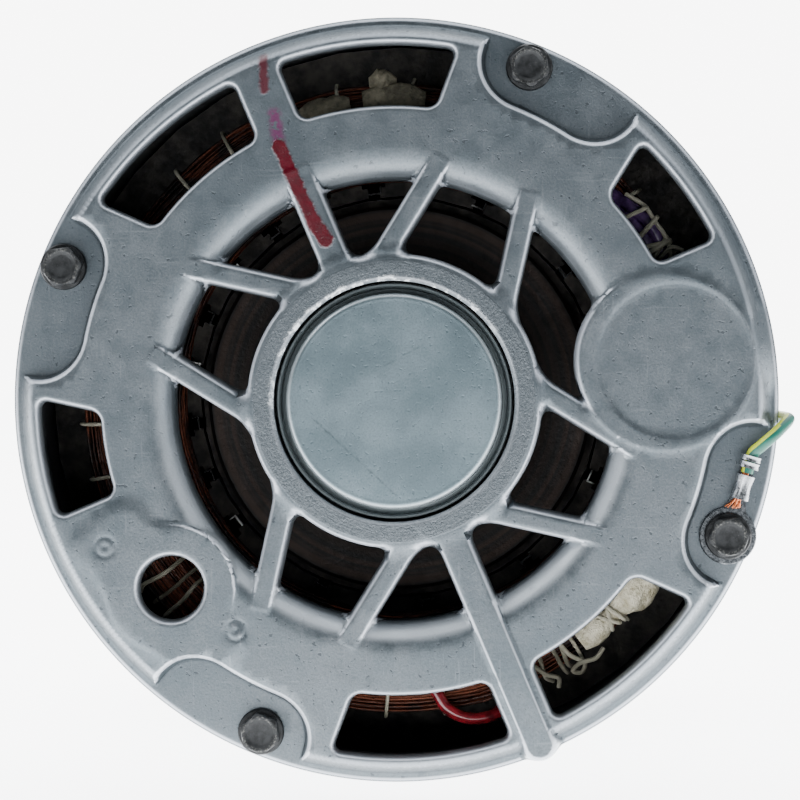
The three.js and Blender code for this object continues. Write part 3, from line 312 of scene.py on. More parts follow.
class Recipe(NodeShop):
    """A Geometry Nodes tree with named inputs."""

    def __init__(self, name, **inputs):
        super().__init__(bpy.data.node_groups.new(name, "GeometryNodeTree"))
        face = self.tree.interface
        face.new_socket(name="Geometry", in_out="INPUT", socket_type="NodeSocketGeometry")
        for key, kind in inputs.items():
            face.new_socket(name=key, in_out="INPUT", socket_type="NodeSocket" + kind)
        face.new_socket(name="Geometry", in_out="OUTPUT", socket_type="NodeSocketGeometry")
        self.given = self.node("NodeGroupInput").outputs

    def finish(self, geometry):
        real = self.node("GeometryNodeRealizeInstances", None, {"Geometry": geometry})
        coated = self.node("GeometryNodeSetMaterial", None, {
            "Geometry": real.outputs[0], "Material": self.given["Material"]})
        self.node("NodeGroupOutput", None, {"Geometry": coated.outputs[0]})

    def apply(self, piece, **values):
        modifier = piece.modifiers.new(self.tree.name, "NODES")
        modifier.node_group = self.tree
        for item in self.tree.interface.items_tree:
            if item.in_out == "INPUT" and item.name in values:
                modifier[item.identifier] = values[item.name]
        bpy.context.view_layer.update()
        ready = piece.evaluated_get(bpy.context.evaluated_depsgraph_get())
        mesh = bpy.data.meshes.new_from_object(ready)
        piece.modifiers.clear()
        piece.data = mesh
        return piece


print("helpers ready")

# %% [markdown]
# ## Mesh helpers
# Turned parts come from a profile spun about the shaft. Wires, sleeves and cords are tubes along a
# path. Each helper takes millimetres and leaves a closed mesh with its faces outwards.

# %% Pieces, turned shapes and tubes


def piece(name, shape, finish, body, slot, stands_for=(), sharp=35, attributes=None):
    """Makes a finished piece from a shape in millimetres and lets it ride on its body."""
    mesh = bpy.data.meshes.new(name)
    mesh.from_pydata((shape.points * MM).tolist(), [], shape.faces)
    for key, values in (attributes or {}).items():
        layer = mesh.attributes.new(key, "FLOAT", "POINT")
        layer.data.foreach_set("value", np.asarray(values, np.float32))
    made = bpy.data.objects.new(name, mesh)
    bpy.context.scene.collection.objects.link(made)
    mesh.materials.append(finish.material)
    return settle(made, body, stands_for, sharp)


def settle(made, body, stands_for=(), sharp=35):
    made.data.shade_smooth()
    made.data.set_sharp_from_angle(angle=math.radians(sharp))
    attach(made, body)
    if stands_for:
        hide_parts(*stands_for)
    print(made.name, len(made.data.vertices), "points")
    return made


class Shape:
    """Points and faces that can be joined before they become a piece."""

    def __init__(self, points=(), faces=()):
        self.points = np.asarray(points, float).reshape(-1, 3)
        self.faces = [tuple(face) for face in faces]

    def __add__(self, other):
        shift = len(self.points)
        moved = [tuple(i + shift for i in face) for face in other.faces]
        return Shape(np.vstack([self.points, other.points]), self.faces + moved)

    def outward(self):
        """Turns the shape right way out if its signed volume is negative."""
        volume = 0.0
        for face in self.faces:
            a = self.points[face[0]]
            for i in range(1, len(face) - 1):
                volume += np.dot(a, np.cross(self.points[face[i]], self.points[face[i + 1]]))
        if volume < 0:
            self.faces = [tuple(reversed(face)) for face in self.faces]
        return self


def turned(profile, steps=96):
    """Spins (radius, y) points about the shaft. It closes on itself, or on the shaft at radius 0."""
    profile = [p for i, p in enumerate(profile) if i == 0 or p != profile[i - 1]]
    on_axis = profile[0][0] == 0 and profile[-1][0] == 0
    ring = profile[1:-1] if on_axis else profile
    angles = np.arange(steps) * 2 * math.pi / steps
    points = [(r * math.cos(a), y, r * math.sin(a)) for r, y in ring for a in angles]
    faces = []
    count = len(ring)
    for i in range(count - 1 if on_axis else count):
        j = (i + 1) % count
        for k in range(steps):
            n = (k + 1) % steps
            faces.append((i * steps + k, i * steps + n, j * steps + n, j * steps + k))
    if on_axis:
        points += [(0, profile[0][1], 0), (0, profile[-1][1], 0)]
        first, last = len(points) - 2, len(points) - 1
        end = (count - 1) * steps
        for k in range(steps):
            n = (k + 1) % steps
            faces.append((first, n, k))
            faces.append((last, end + k, end + n))
    return Shape(points, faces).outward()


def arc(centre_r, centre_y, radius, start, end, steps=5):
    """Points of a rounded edge in a profile."""
    return [(centre_r + radius * math.cos(math.radians(start + (end - start) * i / steps)),
             centre_y + radius * math.sin(math.radians(start + (end - start) * i / steps)))
            for i in range(steps + 1)]


def smooth_path(points, count):
    """A smooth open line through points."""
    points = np.asarray(points, float)
    ends = np.vstack([2 * points[0] - points[1], points, 2 * points[-1] - points[-2]])
    knots = np.cumsum(np.r_[0, np.sqrt(np.linalg.norm(np.diff(ends, axis=0), axis=1)) + 1e-9])
    out = []
    for t in np.linspace(knots[1], knots[-2], count):
        i = min(max(np.searchsorted(knots, t, "right") - 1, 1), len(points) - 1)
        p, k = ends[i - 1:i + 3], knots[i - 1:i + 3]
        a = [(k[j + 1] - t) / (k[j + 1] - k[j]) * p[j] + (t - k[j]) / (k[j + 1] - k[j]) * p[j + 1]
             for j in range(3)]
        b = [(k[j + 2] - t) / (k[j + 2] - k[j]) * a[j] + (t - k[j]) / (k[j + 2] - k[j]) * a[j + 1]
             for j in range(2)]
        out.append((k[2] - t) / (k[2] - k[1]) * b[0] + (t - k[1]) / (k[2] - k[1]) * b[1])
    return np.array(out)


def bands(rings, sides):
    """Faces that join each ring of points to the next."""
    return [(i * sides + k, i * sides + (k + 1) % sides, (i + 1) * sides + (k + 1) % sides, (i + 1) * sides + k)
            for i in range(rings - 1) for k in range(sides)]


def skin(points, sides, ends_turned=False):
    """Joins rings of points and closes both ends."""
    rings = len(points) // sides
    first, last = tuple(range(sides)), tuple(range((rings - 1) * sides, rings * sides))
    ends = [first, last[::-1]] if ends_turned else [first[::-1], last]
    return Shape(points, bands(rings, sides) + ends).outward()


def swung(points, angle):
    """Points turned about the shaft by an angle."""
    c, s = math.cos(math.radians(angle)), math.sin(math.radians(angle))
    x, y, z = np.asarray(points, float).T
    return np.column_stack([x * c - z * s, y, x * s + z * c])


def tube(path, radius, sides=10, squash=1.0):
    """A closed tube along an open path. radius may be one number or one for each point."""
    path = np.asarray(path, float)
    radii = np.broadcast_to(radius, len(path))
    tangents = np.gradient(path, axis=0)
    tangents /= np.linalg.norm(tangents, axis=1)[:, None]
    side = np.cross(tangents[0], (0.31, 0.87, 0.38))
    points = []
    for place, along, size in zip(path, tangents, radii):
        side = side - along * np.dot(side, along)
        side /= np.linalg.norm(side)
        up = np.cross(along, side)
        for k in range(sides):
            turn = 2 * math.pi * k / sides
            points.append(place + size * (side * math.cos(turn) + up * math.sin(turn) * squash))
    return skin(points, sides)


def prism(outline, low, high, edge=0.0):
    """An (x, z) outline raised from y low to y high, with its edges eased by edge."""
    outline = np.asarray(outline, float)
    middle = outline.mean(0)
    shrink = outline + (middle - outline) / np.linalg.norm(outline - middle, axis=1)[:, None] * edge
    layers = [(shrink, low), (outline, low + edge), (outline, high - edge), (shrink, high)] if edge else [
        (outline, low), (outline, high)]
    return skin([(x, y, z) for shape, y in layers for x, z in shape], len(outline))


def block(x, y, z, edge=0.3):
    """A box between two limits on each axis, with eased edges."""
    return prism([(x[0], z[0]), (x[1], z[0]), (x[1], z[1]), (x[0], z[1])], y[0], y[1], edge)


# %% [markdown]
# ## The earth lead
# A short green and yellow lead is crimped into a ring terminal. It turns over the rim and runs down
# the shell into the socket block. It comes first, because its route was settled with the CAD.

# %% The lead's finish and route
lead_finish = Finish("lead_insulation", (0.008, 0.17, 0.12), 0.0, 0.42, Coat_Weight=0.08)
stripe = lead_finish.ramp(lead_finish.attribute("stripe"), 0.35, 0.6)
lead_finish.paint(Base_Color=lead_finish.mix(
    stripe, lead_finish.mix(lead_finish.noise(2.0), (0.0015, 0.07, 0.05), (0.004, 0.13, 0.09)), (0.45, 0.52, 0.02)))
LEAD_RADIUS = 1.3
LEAD_ROUTE = [
    (75.4, -137.5, -15.3), (76.6, -137.6, -11.2), (78.2, -138.5, -9.6), (79.9, -139.0, -8.1),
    (81.2, -138.8, -7.0), (82.3, -138.1, -6.0), (83.3, -137.1, -5.1), (84.1, -135.8, -4.4),
    (84.6, -134.2, -3.9), (84.7, -132.5, -3.8), (84.7, -125.0, -3.8), (84.3, -115.0, -3.8),
    (83.7, -105.0, -3.8), (83.4, -89.0, -3.8), (83.4, -64.0, -3.8), (83.4, -50.0, -3.8),
    (83.4, -38.0, -3.8)]
lead_path = smooth_path(LEAD_ROUTE, 120)
LEAD_SIDES = 24
lead_shape = tube(lead_path, LEAD_RADIUS, LEAD_SIDES)
around = np.arange(len(lead_shape.points)) % LEAD_SIDES
along = np.arange(len(lead_shape.points)) // LEAD_SIDES
twist = (around + 0.02 * along + 3) % LEAD_SIDES
lead = piece("ground_lead_wire", lead_shape, lead_finish, "motor",
             "lead_insulation", ["ground_lead"], 60, {"stripe": (twist < 7.5).astype(float)})
lead_length = np.linalg.norm(np.diff(lead_path, axis=0), axis=1).sum()
print("lead length", round(lead_length, 1), "mm")

# %% [markdown]
# ## Castings
# A die casting is a plan with thickness: every edge is rounded and every wall leans a little. It is
# built like a map. One function says where metal is in plan, one says how high it stands, and rows
# of points follow each edge, so that triangles line up with the fillets instead of cutting them.

# %% Plan functions


def soft_min(a, b, width):
    share = np.clip(0.5 + 0.5 * (b - a) / width, 0, 1)
    return b * (1 - share) + a * share - width * share * (1 - share)


def soft_max(a, b, width):
    return -soft_min(-a, -b, width)


def corner(a, b, radius):
    """Distance inside two walls, with a rounded corner between them."""
    near = (a < radius) & (b < radius)
    return np.where(near, radius - np.hypot(radius - a, radius - b), np.minimum(a, b))


def side_line(x, z, start, end):
    """Distance to the left of the line from start to end."""
    run = (end - start) / np.linalg.norm(end - start)
    return (z - start[1]) * run[0] - (x - start[0]) * run[1]


def bar(x, z, angle, near, far, half):
    """Distance inside a bar whose centre line goes from near to far, (along, across) in a direction."""
    c, s = math.cos(math.radians(angle)), math.sin(math.radians(angle))
    p, q = x * c + z * s, z * c - x * s
    run = np.array([far[0] - near[0], far[1] - near[1]])
    length = np.linalg.norm(run)
    run /= length
    a = (p - near[0]) * run[0] + (q - near[1]) * run[1]
    b = (q - near[1]) * run[0] - (p - near[0]) * run[1]
    return np.minimum(half - np.abs(b), np.minimum(a, length - a))


def round_bar(x, z, angle, near, far, half):
    """The same, with round ends."""
    a, b = polar(near, angle), polar(far, angle)
    run = b - a
    t = np.clip(((x - a[0]) * run[0] + (z - a[1]) * run[1]) / run.dot(run), 0, 1)
    return half - np.hypot(x - a[0] - t * run[0], z - a[1] - t * run[1])


def sector(x, z, inner, outer, first, last, radius):
    """Distance inside a patch between two radii and two sides, each side (angle in, angle out)."""
    r = np.hypot(x, z)
    left = side_line(x, z, polar(inner, first[0]), polar(outer, first[1]))
    right = -side_line(x, z, polar(inner, last[0]), polar(outer, last[1]))
    gaps = [corner(side, edge, radius) for side in (left, right) for edge in (r - inner, outer - r)]
    return np.minimum.reduce(gaps)


# %% Tracing outlines on a grid


def trace(field, reach, cell=0.35):
    """Closed outlines where field is zero, with the positive side on the left."""
    line = np.arange(-reach, reach + cell, cell)
    gx, gz = np.meshgrid(line, line, indexing="ij")
    v = field(gx, gz)
    v[v == 0] = 1e-9
    links = {}
    inside = v > 0
    mixed = np.argwhere((inside[:-1, :-1] != inside[1:, :-1]) | (inside[:-1, :-1] != inside[:-1, 1:])
                        | (inside[:-1, :-1] != inside[1:, 1:]))

    def crossing(a, b):
        t = v[a] / (v[a] - v[b])
        return (gx[a] + t * (gx[b] - gx[a]), gz[a] + t * (gz[b] - gz[a]))

    places = {}
    for i, j in mixed:
        ring = [(i, j), (i + 1, j), (i + 1, j + 1), (i, j + 1)]
        leaving, entering = [], []
        for k in range(4):
            a, b = ring[k], ring[(k + 1) % 4]
            if inside[a] != inside[b]:
                key = (min(a, b), max(a, b))
                places[key] = crossing(*key)
                (leaving if inside[a] else entering).append(key)
        for a, b in zip(leaving, entering if len(leaving) == 1 else entering[::-1]):
            links[a] = b
    loops = []
    while links:
        start, here = links.popitem()
        loop = [start]
        while here != start and here in links:
            loop.append(here)
            here = links.pop(here)
        if len(loop) > 12:
            loops.append(np.array([places[key] for key in loop]))
    return loops


def respaced(loop, spacing):
    closed = np.vstack([loop, loop[:1]])
    length = np.r_[0, np.cumsum(np.linalg.norm(np.diff(closed, axis=0), axis=1))]
    count = max(12, int(round(length[-1] / spacing)))
    at = np.arange(count) * length[-1] / count
    return np.column_stack([np.interp(at, length, closed[:, i]) for i in range(2)])


def gradient(field, points, step=0.05):
    x, z = points[:, 0], points[:, 1]
    slope = np.column_stack([field(x + step, z) - field(x - step, z), field(x, z + step) - field(x, z - step)])
    return slope / (np.linalg.norm(slope, axis=1)[:, None] + 1e-9)


def rows(field, loops, offsets):
    """Points at set distances from traced outlines, left out where two rows would meet."""
    out = []
    for loop in loops:
        slope = gradient(field, loop)
        for offset in offsets:
            row = loop + slope * offset
            good = np.abs(field(row[:, 0], row[:, 1]) - offset) < 0.2 * abs(offset) + 0.02
            out.append(row[good])
    return np.vstack(out)


def circle_rows(centre, radii, spacing):
    out = []
    for radius in radii:
        count = max(16, int(2 * math.pi * radius / spacing))
        turn = np.arange(count) * 2 * math.pi / count
        out.append(np.column_stack([centre[0] + radius * np.cos(turn), centre[1] + radius * np.sin(turn)]))
    return np.vstack(out)


# %% From plan and height to a closed casting


def cast_plate(metal, height, underside, extra_rows, face, outwards, reach, wall_rows, cell=1.5):
    """A casting: metal(x, z) > 0 is solid, height and underside are along outwards from face."""
    loops = [respaced(loop, 0.62) for loop in trace(metal, reach)]
    edge_points = np.vstack(loops)
    edges, start = [], 0
    for loop in loops:
        count = len(loop)
        edges += [(start + k, start + (k + 1) % count) for k in range(count)]
        start += count
    kept = [tuple(p) for p in edge_points]
    taken = {}

    def free(p, gap):
        ci, cj = int(p[0] // gap), int(p[1] // gap)
        near = taken.setdefault(gap, {})
        for i in (ci - 1, ci, ci + 1):
            for j in (cj - 1, cj, cj + 1):
                for q in near.get((i, j), ()):
                    if (p[0] - q[0]) ** 2 + (p[1] - q[1]) ** 2 < gap * gap:
                        return False
        return True

    def take(p):
        for gap, near in taken.items():
            near.setdefault((int(p[0] // gap), int(p[1] // gap)), []).append(p)

    for gap in (0.14, 0.3, 0.75):
        taken[gap] = {}
    for p in kept:
        take(p)
    grid = np.arange(-reach, reach, cell)
    gx, gz = np.meshgrid(grid, grid, indexing="ij")
    gx = gx + (np.arange(gx.shape[1]) % 2) * cell / 2
    base = np.column_stack([gx.ravel(), gz.ravel()])
    for group, gap in ((rows(metal, loops, wall_rows), 0.14), (extra_rows, 0.3), (base, 0.75)):
        inside = metal(group[:, 0], group[:, 1]) > 0.1
        for p in group[inside]:
            p = tuple(p)
            if free(p, gap):
                kept.append(p)
                take(p)
    top_points, _, triangles, *_ = delaunay_2d_cdt([Vector(p) for p in kept], edges, [], 0, 1e-6)
    flat = np.array([(p.x, p.y) for p in top_points])
    triangles = np.array(triangles)
    middle = flat[triangles].mean(1)
    triangles = triangles[metal(middle[:, 0], middle[:, 1]) > 0]
    used = {}
    for a, b, c in triangles.tolist():
        for pair in ((a, b), (b, c), (c, a)):
            used[pair] = True
    border = [pair for pair in used if (pair[1], pair[0]) not in used]
    rim = sorted({i for pair in border for i in pair})
    slot_of = {i: k for k, i in enumerate(rim)}
    sparse = [p for p in base[::7] if metal(p[:1], p[1:])[0] > 2.5]
    low_input = [Vector(flat[i]) for i in rim] + [Vector(p) for p in sparse]
    low_edges = [(slot_of[a], slot_of[b]) for a, b in border]
    low_points, _, low_faces, *_ = delaunay_2d_cdt(low_input, low_edges, [], 0, 1e-7)
    low_flat = np.array([(p.x, p.y) for p in low_points])
    low_faces = np.array(low_faces)
    middle = low_flat[low_faces].mean(1)
    low_faces = low_faces[metal(middle[:, 0], middle[:, 1]) > 0]
    top_y = face + outwards * height(flat[:, 0], flat[:, 1])
    low_y = face + outwards * np.minimum(underside(low_flat[:, 0], low_flat[:, 1]),
                                         height(low_flat[:, 0], low_flat[:, 1]) - 0.4)
    shift = len(flat)
    points = np.vstack([np.column_stack([flat[:, 0], top_y, flat[:, 1]]),
                        np.column_stack([low_flat[:, 0], low_y, low_flat[:, 1]])])
    faces = [tuple(t) for t in triangles.tolist()]
    faces += [(c + shift, b + shift, a + shift) for a, b, c in low_faces.tolist()]
    faces += [(b, a, shift + slot_of[a], shift + slot_of[b]) for a, b in border]
    if outwards > 0:
        faces = [tuple(reversed(f)) for f in faces]
    return Shape(points, faces), flat


def convexity(height, flat, step=0.45):
    """How sharply the top bends: 1 on an outer edge, negative in an inner one."""
    x, z = flat[:, 0], flat[:, 1]
    around = height(x + step, z) + height(x - step, z) + height(x, z + step) + height(x, z - step)
    return np.clip((4 * height(x, z) - around) / 1.2, -1, 1)


print("casting helpers ready")

# %% [markdown]
# ## The rear shield
# Seen from the back: an annulus with six vents, four bolt pockets and two pads, and a hub held by
# ten ribs. Its inner edge curls in like a bell mouth. The plan is a chain of soft unions and cuts.

# %% The rear shield's plan
RIB_HALF = 2.7
MAIN_HALF = 3.6
RIB_ENDS = [(27.0, 14.2), (53.0, 9.85)]
VENT_INNER = RIM - 19.1
VENT_OUTER = RIM - 6.3
VENT_BESIDE = 5.3
LONG_VENT = (30.9, 33.0)
SHORT_VENT = (20.6, 23.1)
POCKET_INNER = RIM - 13.8
POCKET_NEAR, POCKET_FAR = 7.3, 18.1
POCKET_CORNER = 8.5
disc_at = polar(DISC_AT, DISC_ANGLE)
recess_at = polar(DISC_AT + 1.9, DISC_ANGLE)
hole_at = polar(HOLE_AT, HOLE_ANGLE)
MARKS = [polar(math.hypot(HOLE_AT - side * 5.05, 15.9),
               HOLE_ANGLE + side * math.degrees(math.atan2(15.9, HOLE_AT - side * 5.05))) for side in (1, -1)]


def rear_ribs(x, z):
    near, far = RIB_ENDS
    ribs = [bar(x, z, angle, (near[0], side * near[1]), (far[0], side * far[1]), RIB_HALF)
            for angle in BOLT_ANGLES for side in (1, -1)]
    return ribs + [bar(x, z, AXIS, (27.0, 0.0), (55.0, 0.0), MAIN_HALF)]


def long_rib(x, z):
    return round_bar(x, z, AXIS + 180, 27.0, RIM - 2.65, 3.75)


def vent_sides():
    near = [math.degrees(math.asin(VENT_BESIDE / r)) for r in (VENT_INNER, VENT_OUTER)]
    places = [(AXIS, 1, LONG_VENT), (AXIS, -1, LONG_VENT), (AXIS + 180, 1, LONG_VENT),
              (AXIS + 180, -1, LONG_VENT), (AXIS - 90, 1, SHORT_VENT), (AXIS + 90, -1, SHORT_VENT)]
    for axis, side, far in places:
        sides = [axis + side * a for a in near], [axis + side * a for a in far]
        yield sides if side > 0 else sides[::-1]


VENTS = list(vent_sides())


def rear_pockets(x, z):
    out = []
    for i, angle in enumerate(BOLT_ANGLES):
        side = 1 if i % 2 == 0 else -1
        ends = sorted([angle + side * POCKET_NEAR, angle - side * POCKET_FAR])
        out.append(sector(x, z, POCKET_INNER, RIM + 30, [ends[0]] * 2, [ends[1]] * 2, POCKET_CORNER))
    return np.maximum.reduce(out)


def rear_metal(x, z):
    r = np.hypot(x, z)
    solid = np.maximum(r - EYE, HUB - r)
    web = np.interp(r, [38, 45], [3.2, 0.9])
    for rib in [*rear_ribs(x, z), long_rib(x, z)]:
        solid = soft_max(solid, rib, web)
    solid = soft_max(solid, DISC_RADIUS - np.hypot(x - disc_at[0], z - disc_at[1]), 1.2)
    solid = np.minimum(solid, soft_max(RIM - r, long_rib(x, z), 1.5))
    for first, last in VENTS:
        solid = np.minimum(solid, -sector(x, z, VENT_INNER, VENT_OUTER, first, last, 1.8))
    solid = np.minimum(solid, np.hypot(x - hole_at[0], z - hole_at[1]) - HOLE_RADIUS)
    return np.minimum(solid, r - CAP_BORE)


# %% The rear shield's height


def rounded_box(p, q, low, high, radius):
    """Distance inside a box with rounded corners, for (p, q) limits."""
    dp = np.maximum(low[0] + radius - p, p - high[0] + radius)
    dq = np.maximum(low[1] + radius - q, q - high[1] + radius)
    return radius - np.hypot(np.maximum(dp, 0), np.maximum(dq, 0)) - np.minimum(np.maximum(dp, dq), 0)


def plateau(inside, top, width=0.9, slope=1.2):
    """A raised flat with a rounded edge that falls away outside."""
    return soft_min(top + 0 * inside, top + (inside - 0.2) * slope, width)


def edge_drop(m, depth, fillet, lean=0.35):
    """How far a rounded, leaning edge drops at distance m from the outline."""
    into = np.clip(fillet + lean - m, 0, fillet)
    curve = fillet - np.sqrt(np.maximum(fillet ** 2 - into ** 2, 0))
    wall = np.clip((lean - m) / lean, 0, 1) * np.maximum(depth - fillet, 0)
    return -(curve + wall)


def rear_base(x, z):
    r = np.hypot(x, z)
    zero = 0 * r
    h = soft_min(zero, -(r - (RIM - 4.3)) * 2.2, 1.6)
    bell = -EYE_ROUND + np.sqrt(np.maximum(EYE_ROUND ** 2 - np.clip(EYE + EYE_ROUND - r, 0, EYE_ROUND) ** 2, 0))
    h = np.minimum(h, bell)
    reach = 3 * np.clip((EYE + 0.6 - r) / 1.2, 0, 1)
    for rib in rear_ribs(x, z):
        h = soft_max(h, soft_min(zero, (rib - 0.5 + reach) * 5.0, 1.6), 0.4)
    h = soft_max(h, soft_min(zero + 0.8, 0.8 + (long_rib(x, z) - 0.6 + reach) * 3.5, 1.4), 0.4)
    h = soft_max(h, soft_min(zero + 1.0, (HUB + 0.7 - r) * 0.9, 0.5), 0.7)
    disc = np.hypot(x - disc_at[0], z - disc_at[1])
    h = soft_max(h, plateau(DISC_RADIUS - disc, 0.35, 0.9, np.interp(r, [50, 56], [5.0, 1.2])), 0.4)
    recess = np.hypot(x - recess_at[0], z - recess_at[1])
    h = h - 0.3 * np.clip((16.4 - recess) / 0.3, 0, 1) - 0.16 * np.exp(-((recess - 16.5) / 0.3) ** 2)
    c, s = math.cos(math.radians(HOLE_ANGLE)), math.sin(math.radians(HOLE_ANGLE))
    p, q = x * c + z * s, z * c - x * s
    pad = rounded_box(p, q, (56.6, -22.0), (73.9, 20.5), 5.0)
    pad = soft_max(pad, 14.1 - np.hypot(x - hole_at[0], z - hole_at[1]), 2.0)
    steep = np.interp(r, [50, 56], [5.0, 1.2])
    h = soft_max(h, np.where(r < RIM - 4.5, plateau(pad, 0.6, 0.9, steep), -9.0), 0.5)
    for mark in MARKS:
        away = np.hypot(x - mark[0], z - mark[1])
        h = h - 0.2 * np.exp(-((away - 2.1) / 0.4) ** 2) - 0.28 * np.exp(-(away / 0.5) ** 2)
    h = soft_min(h, 5.0 * (0.35 - rear_pockets(x, z)) - RIM_DROP - 2, 1.3)
    return soft_max(h, zero - RIM_DROP, 0.9)


def rear_height(x, z):
    r = np.hypot(x, z)
    base = rear_base(x, z)
    m = rear_metal(x, z)
    inner = edge_drop(m, 6.4, 1.2) * np.clip(1 + base / 4, 0, 1)
    outer = edge_drop(m, 3.2, 0.9)
    rim = edge_drop(m, 1.0, 0.8)
    bore = edge_drop(m, 0.7, 0.5)
    return base + np.where(r < HUB - 2.5, bore, np.where(r < 57, inner, np.where(r < RIM - 4, outer, rim)))


def rear_under(x, z):
    under = np.interp(np.hypot(x, z), [32.5, 34, 46, 47.5, 50.3, 54, 76.5, 77.2],
                      [-14, -7, -7.5, -10, -10, -3.5, -3.5, -9])
    return np.where(rear_pockets(x, z) > -3, np.minimum(under, -RIM_DROP - 2.4), under)


# %% The rear shield as a mesh


def rib_sides(x, z):
    return np.maximum.reduce([*rear_ribs(x, z), long_rib(x, z)])


def pocket_edges(x, z):
    return np.minimum(rear_pockets(x, z), RIM + 3 - np.hypot(x, z))


pocket_loops = [respaced(loop, 0.7) for loop in trace(pocket_edges, RIM + 6)]
rib_loops = [respaced(loop, 0.7) for loop in trace(rib_sides, RIM + 3)]
side_rows = rows(rib_sides, rib_loops, (-1.2, -0.8, -0.45, -0.15, 0.1, 0.35, 0.6, 0.95, 1.4))
side_radius = np.hypot(side_rows[:, 0], side_rows[:, 1])
contour = np.vstack([side_rows[(side_radius > EYE - 1)],
                     rows(pocket_edges, pocket_loops, (1.6, 1.0, 0.5, 0.15, -0.15, -0.45, -0.7, -0.95, -1.25, -1.8)),
                     circle_rows((0, 0), (26.1, 26.5, 28.2, 30.2, 31.0, 31.7, 48.3, 49.4, 50.8, 52.5, 54.2), 0.95),
                     circle_rows((0, 0), np.arange(RIM - 5.2, RIM - 1.2, 0.42), 1.1),
                     circle_rows(disc_at, (18.4, 18.9, 19.3, 19.8), 0.9),
                     circle_rows(hole_at, (13.2, 13.8, 14.3, 14.9), 0.9),
                     *[circle_rows(mark, (0.35, 0.8, 1.3, 1.7, 2.1, 2.5, 3.0), 0.45) for mark in MARKS],
                     circle_rows(recess_at, (16.0, 16.25, 16.5, 16.75, 17.0), 0.8)])
WALL_ROWS = (0.17, 0.35, 0.45, 0.62, 0.85, 1.15, 1.6, 2.1)
plate_shape, plan = cast_plate(rear_metal, rear_height, rear_under, contour, FACE, -1, RIM + 2, WALL_ROWS)
# Convexity of the top feeds the finish: pale on outer edges (rubbed wear and painted highlight), dark in inner
# corners (painted shade).
wear_highlight_and_shade = np.zeros(len(plate_shape.points))
wear_highlight_and_shade[:len(plan)] = convexity(rear_base, plan)
# A painted highlight is added along the edges of the openings, except where the bell mouth curls in.
lip = rear_metal(plan[:, 0], plan[:, 1])
plan_radius = np.hypot(plan[:, 0], plan[:, 1])
curled = (plan_radius > EYE - 0.5) & (plan_radius < EYE + 6) & (rib_sides(plan[:, 0], plan[:, 1]) < -1)
wear_highlight_and_shade[:len(plan)] += np.where(curled, 0, 0.5 * np.exp(-((lip - 0.6) / 0.45) ** 2))
housing = turned([(20.3, FACE + 6), (25.5, FACE + 6), (25.5, FACE + 21.6), (14.2, FACE + 21.6), (14.2, FACE + 19.8),
                  (20.3, FACE + 19.8)], 72)
SPIGOT_IN, SPIGOT_OUT = 77.2, 79.8
spigot = turned([(SPIGOT_IN, FACE + 6.4), (SPIGOT_OUT, FACE + 6.4), (SPIGOT_OUT, FACE + 12.6), (79.4, FACE + 13),
                 (77.4, FACE + 13), (SPIGOT_IN, FACE + 12.8)], 120)
shield_shape = plate_shape + housing + spigot
wear_highlight_and_shade = np.r_[wear_highlight_and_shade, np.zeros(len(shield_shape.points) - len(wear_highlight_and_shade))]
print("rear shield", len(shield_shape.points), "points", len(shield_shape.faces), "faces")

# %% [markdown]
# ### Cast aluminium
# The skin of a die casting is dull and mottled, with darker handling smudges, painted shade in the
# inner corners, pale edges that are partly rubbed wear and partly painted highlight, fine scratches
# and a turned ring round the bearing. A stripe of paint marks one rib.

# %% Cast aluminium
CAST_TONE = 0.43


def cast_finish(name, tone=1.0):
    def shade(r, g, b):
        return (r * tone * CAST_TONE, g * tone * CAST_TONE, b * tone * CAST_TONE)

    made = Finish(name, shade(0.30, 0.35, 0.38), 0.8, 0.4)
    made.worn = made.attribute("wear_highlight_and_shade")
    cloud = made.noise(24, 4, 0.6)
    patch = made.noise(4.5, 5, 0.65)
    grain = made.noise(0.5, 3, 0.7)
    speck = made.ramp(made.noise(1.1, 2, 0.5), 0.65, 0.72)
    smudge = made.ramp(made.noise(9, 5, 0.72), 0.55, 0.72)
    scratch_a = made.ramp(made.noise(0.8, 2, 0.5, (1, 1, 0.05)), 0.66, 0.72)
    scratch_b = made.ramp(made.noise(0.9, 2, 0.5, (0.06, 1, 1)), 0.67, 0.73)
    tint = made.mix(made.ramp(cloud * 0.6 + patch * 0.5, 0.36, 0.74), shade(0.235, 0.285, 0.32),
                    shade(0.35, 0.395, 0.43))
    tint = made.mix(made.ramp(grain, 0.35, 0.68, 0.0, 0.5), tint, shade(0.155, 0.195, 0.225))
    tint = made.mix(smudge * 0.5, tint, shade(0.15, 0.185, 0.21))
    tint = made.mix(speck * 0.6, tint, shade(0.07, 0.085, 0.1))
    # Outer edges are painted pale, partly rubbed wear and partly painted highlight; inner corners are painted dark as
    # painted shade.
    tint = made.mix(made.ramp(made.worn, 0.06, 0.6, 0.0, 0.8), tint, (0.56, 0.60, 0.66))
    tint = made.mix(made.ramp(made.worn, -0.05, -0.5, 0.0, 0.35), tint, shade(0.09, 0.11, 0.13))
    tint = made.mix(made.sum("MAXIMUM", scratch_a, scratch_b) * 0.16, tint, shade(0.62, 0.68, 0.74))
    made.tint = tint
    made.rough = made.ramp(patch, 0.3, 0.75, 0.36, 0.52)
    made.relief = patch * 0.2 + grain * 0.35 - speck * 0.3
    return made


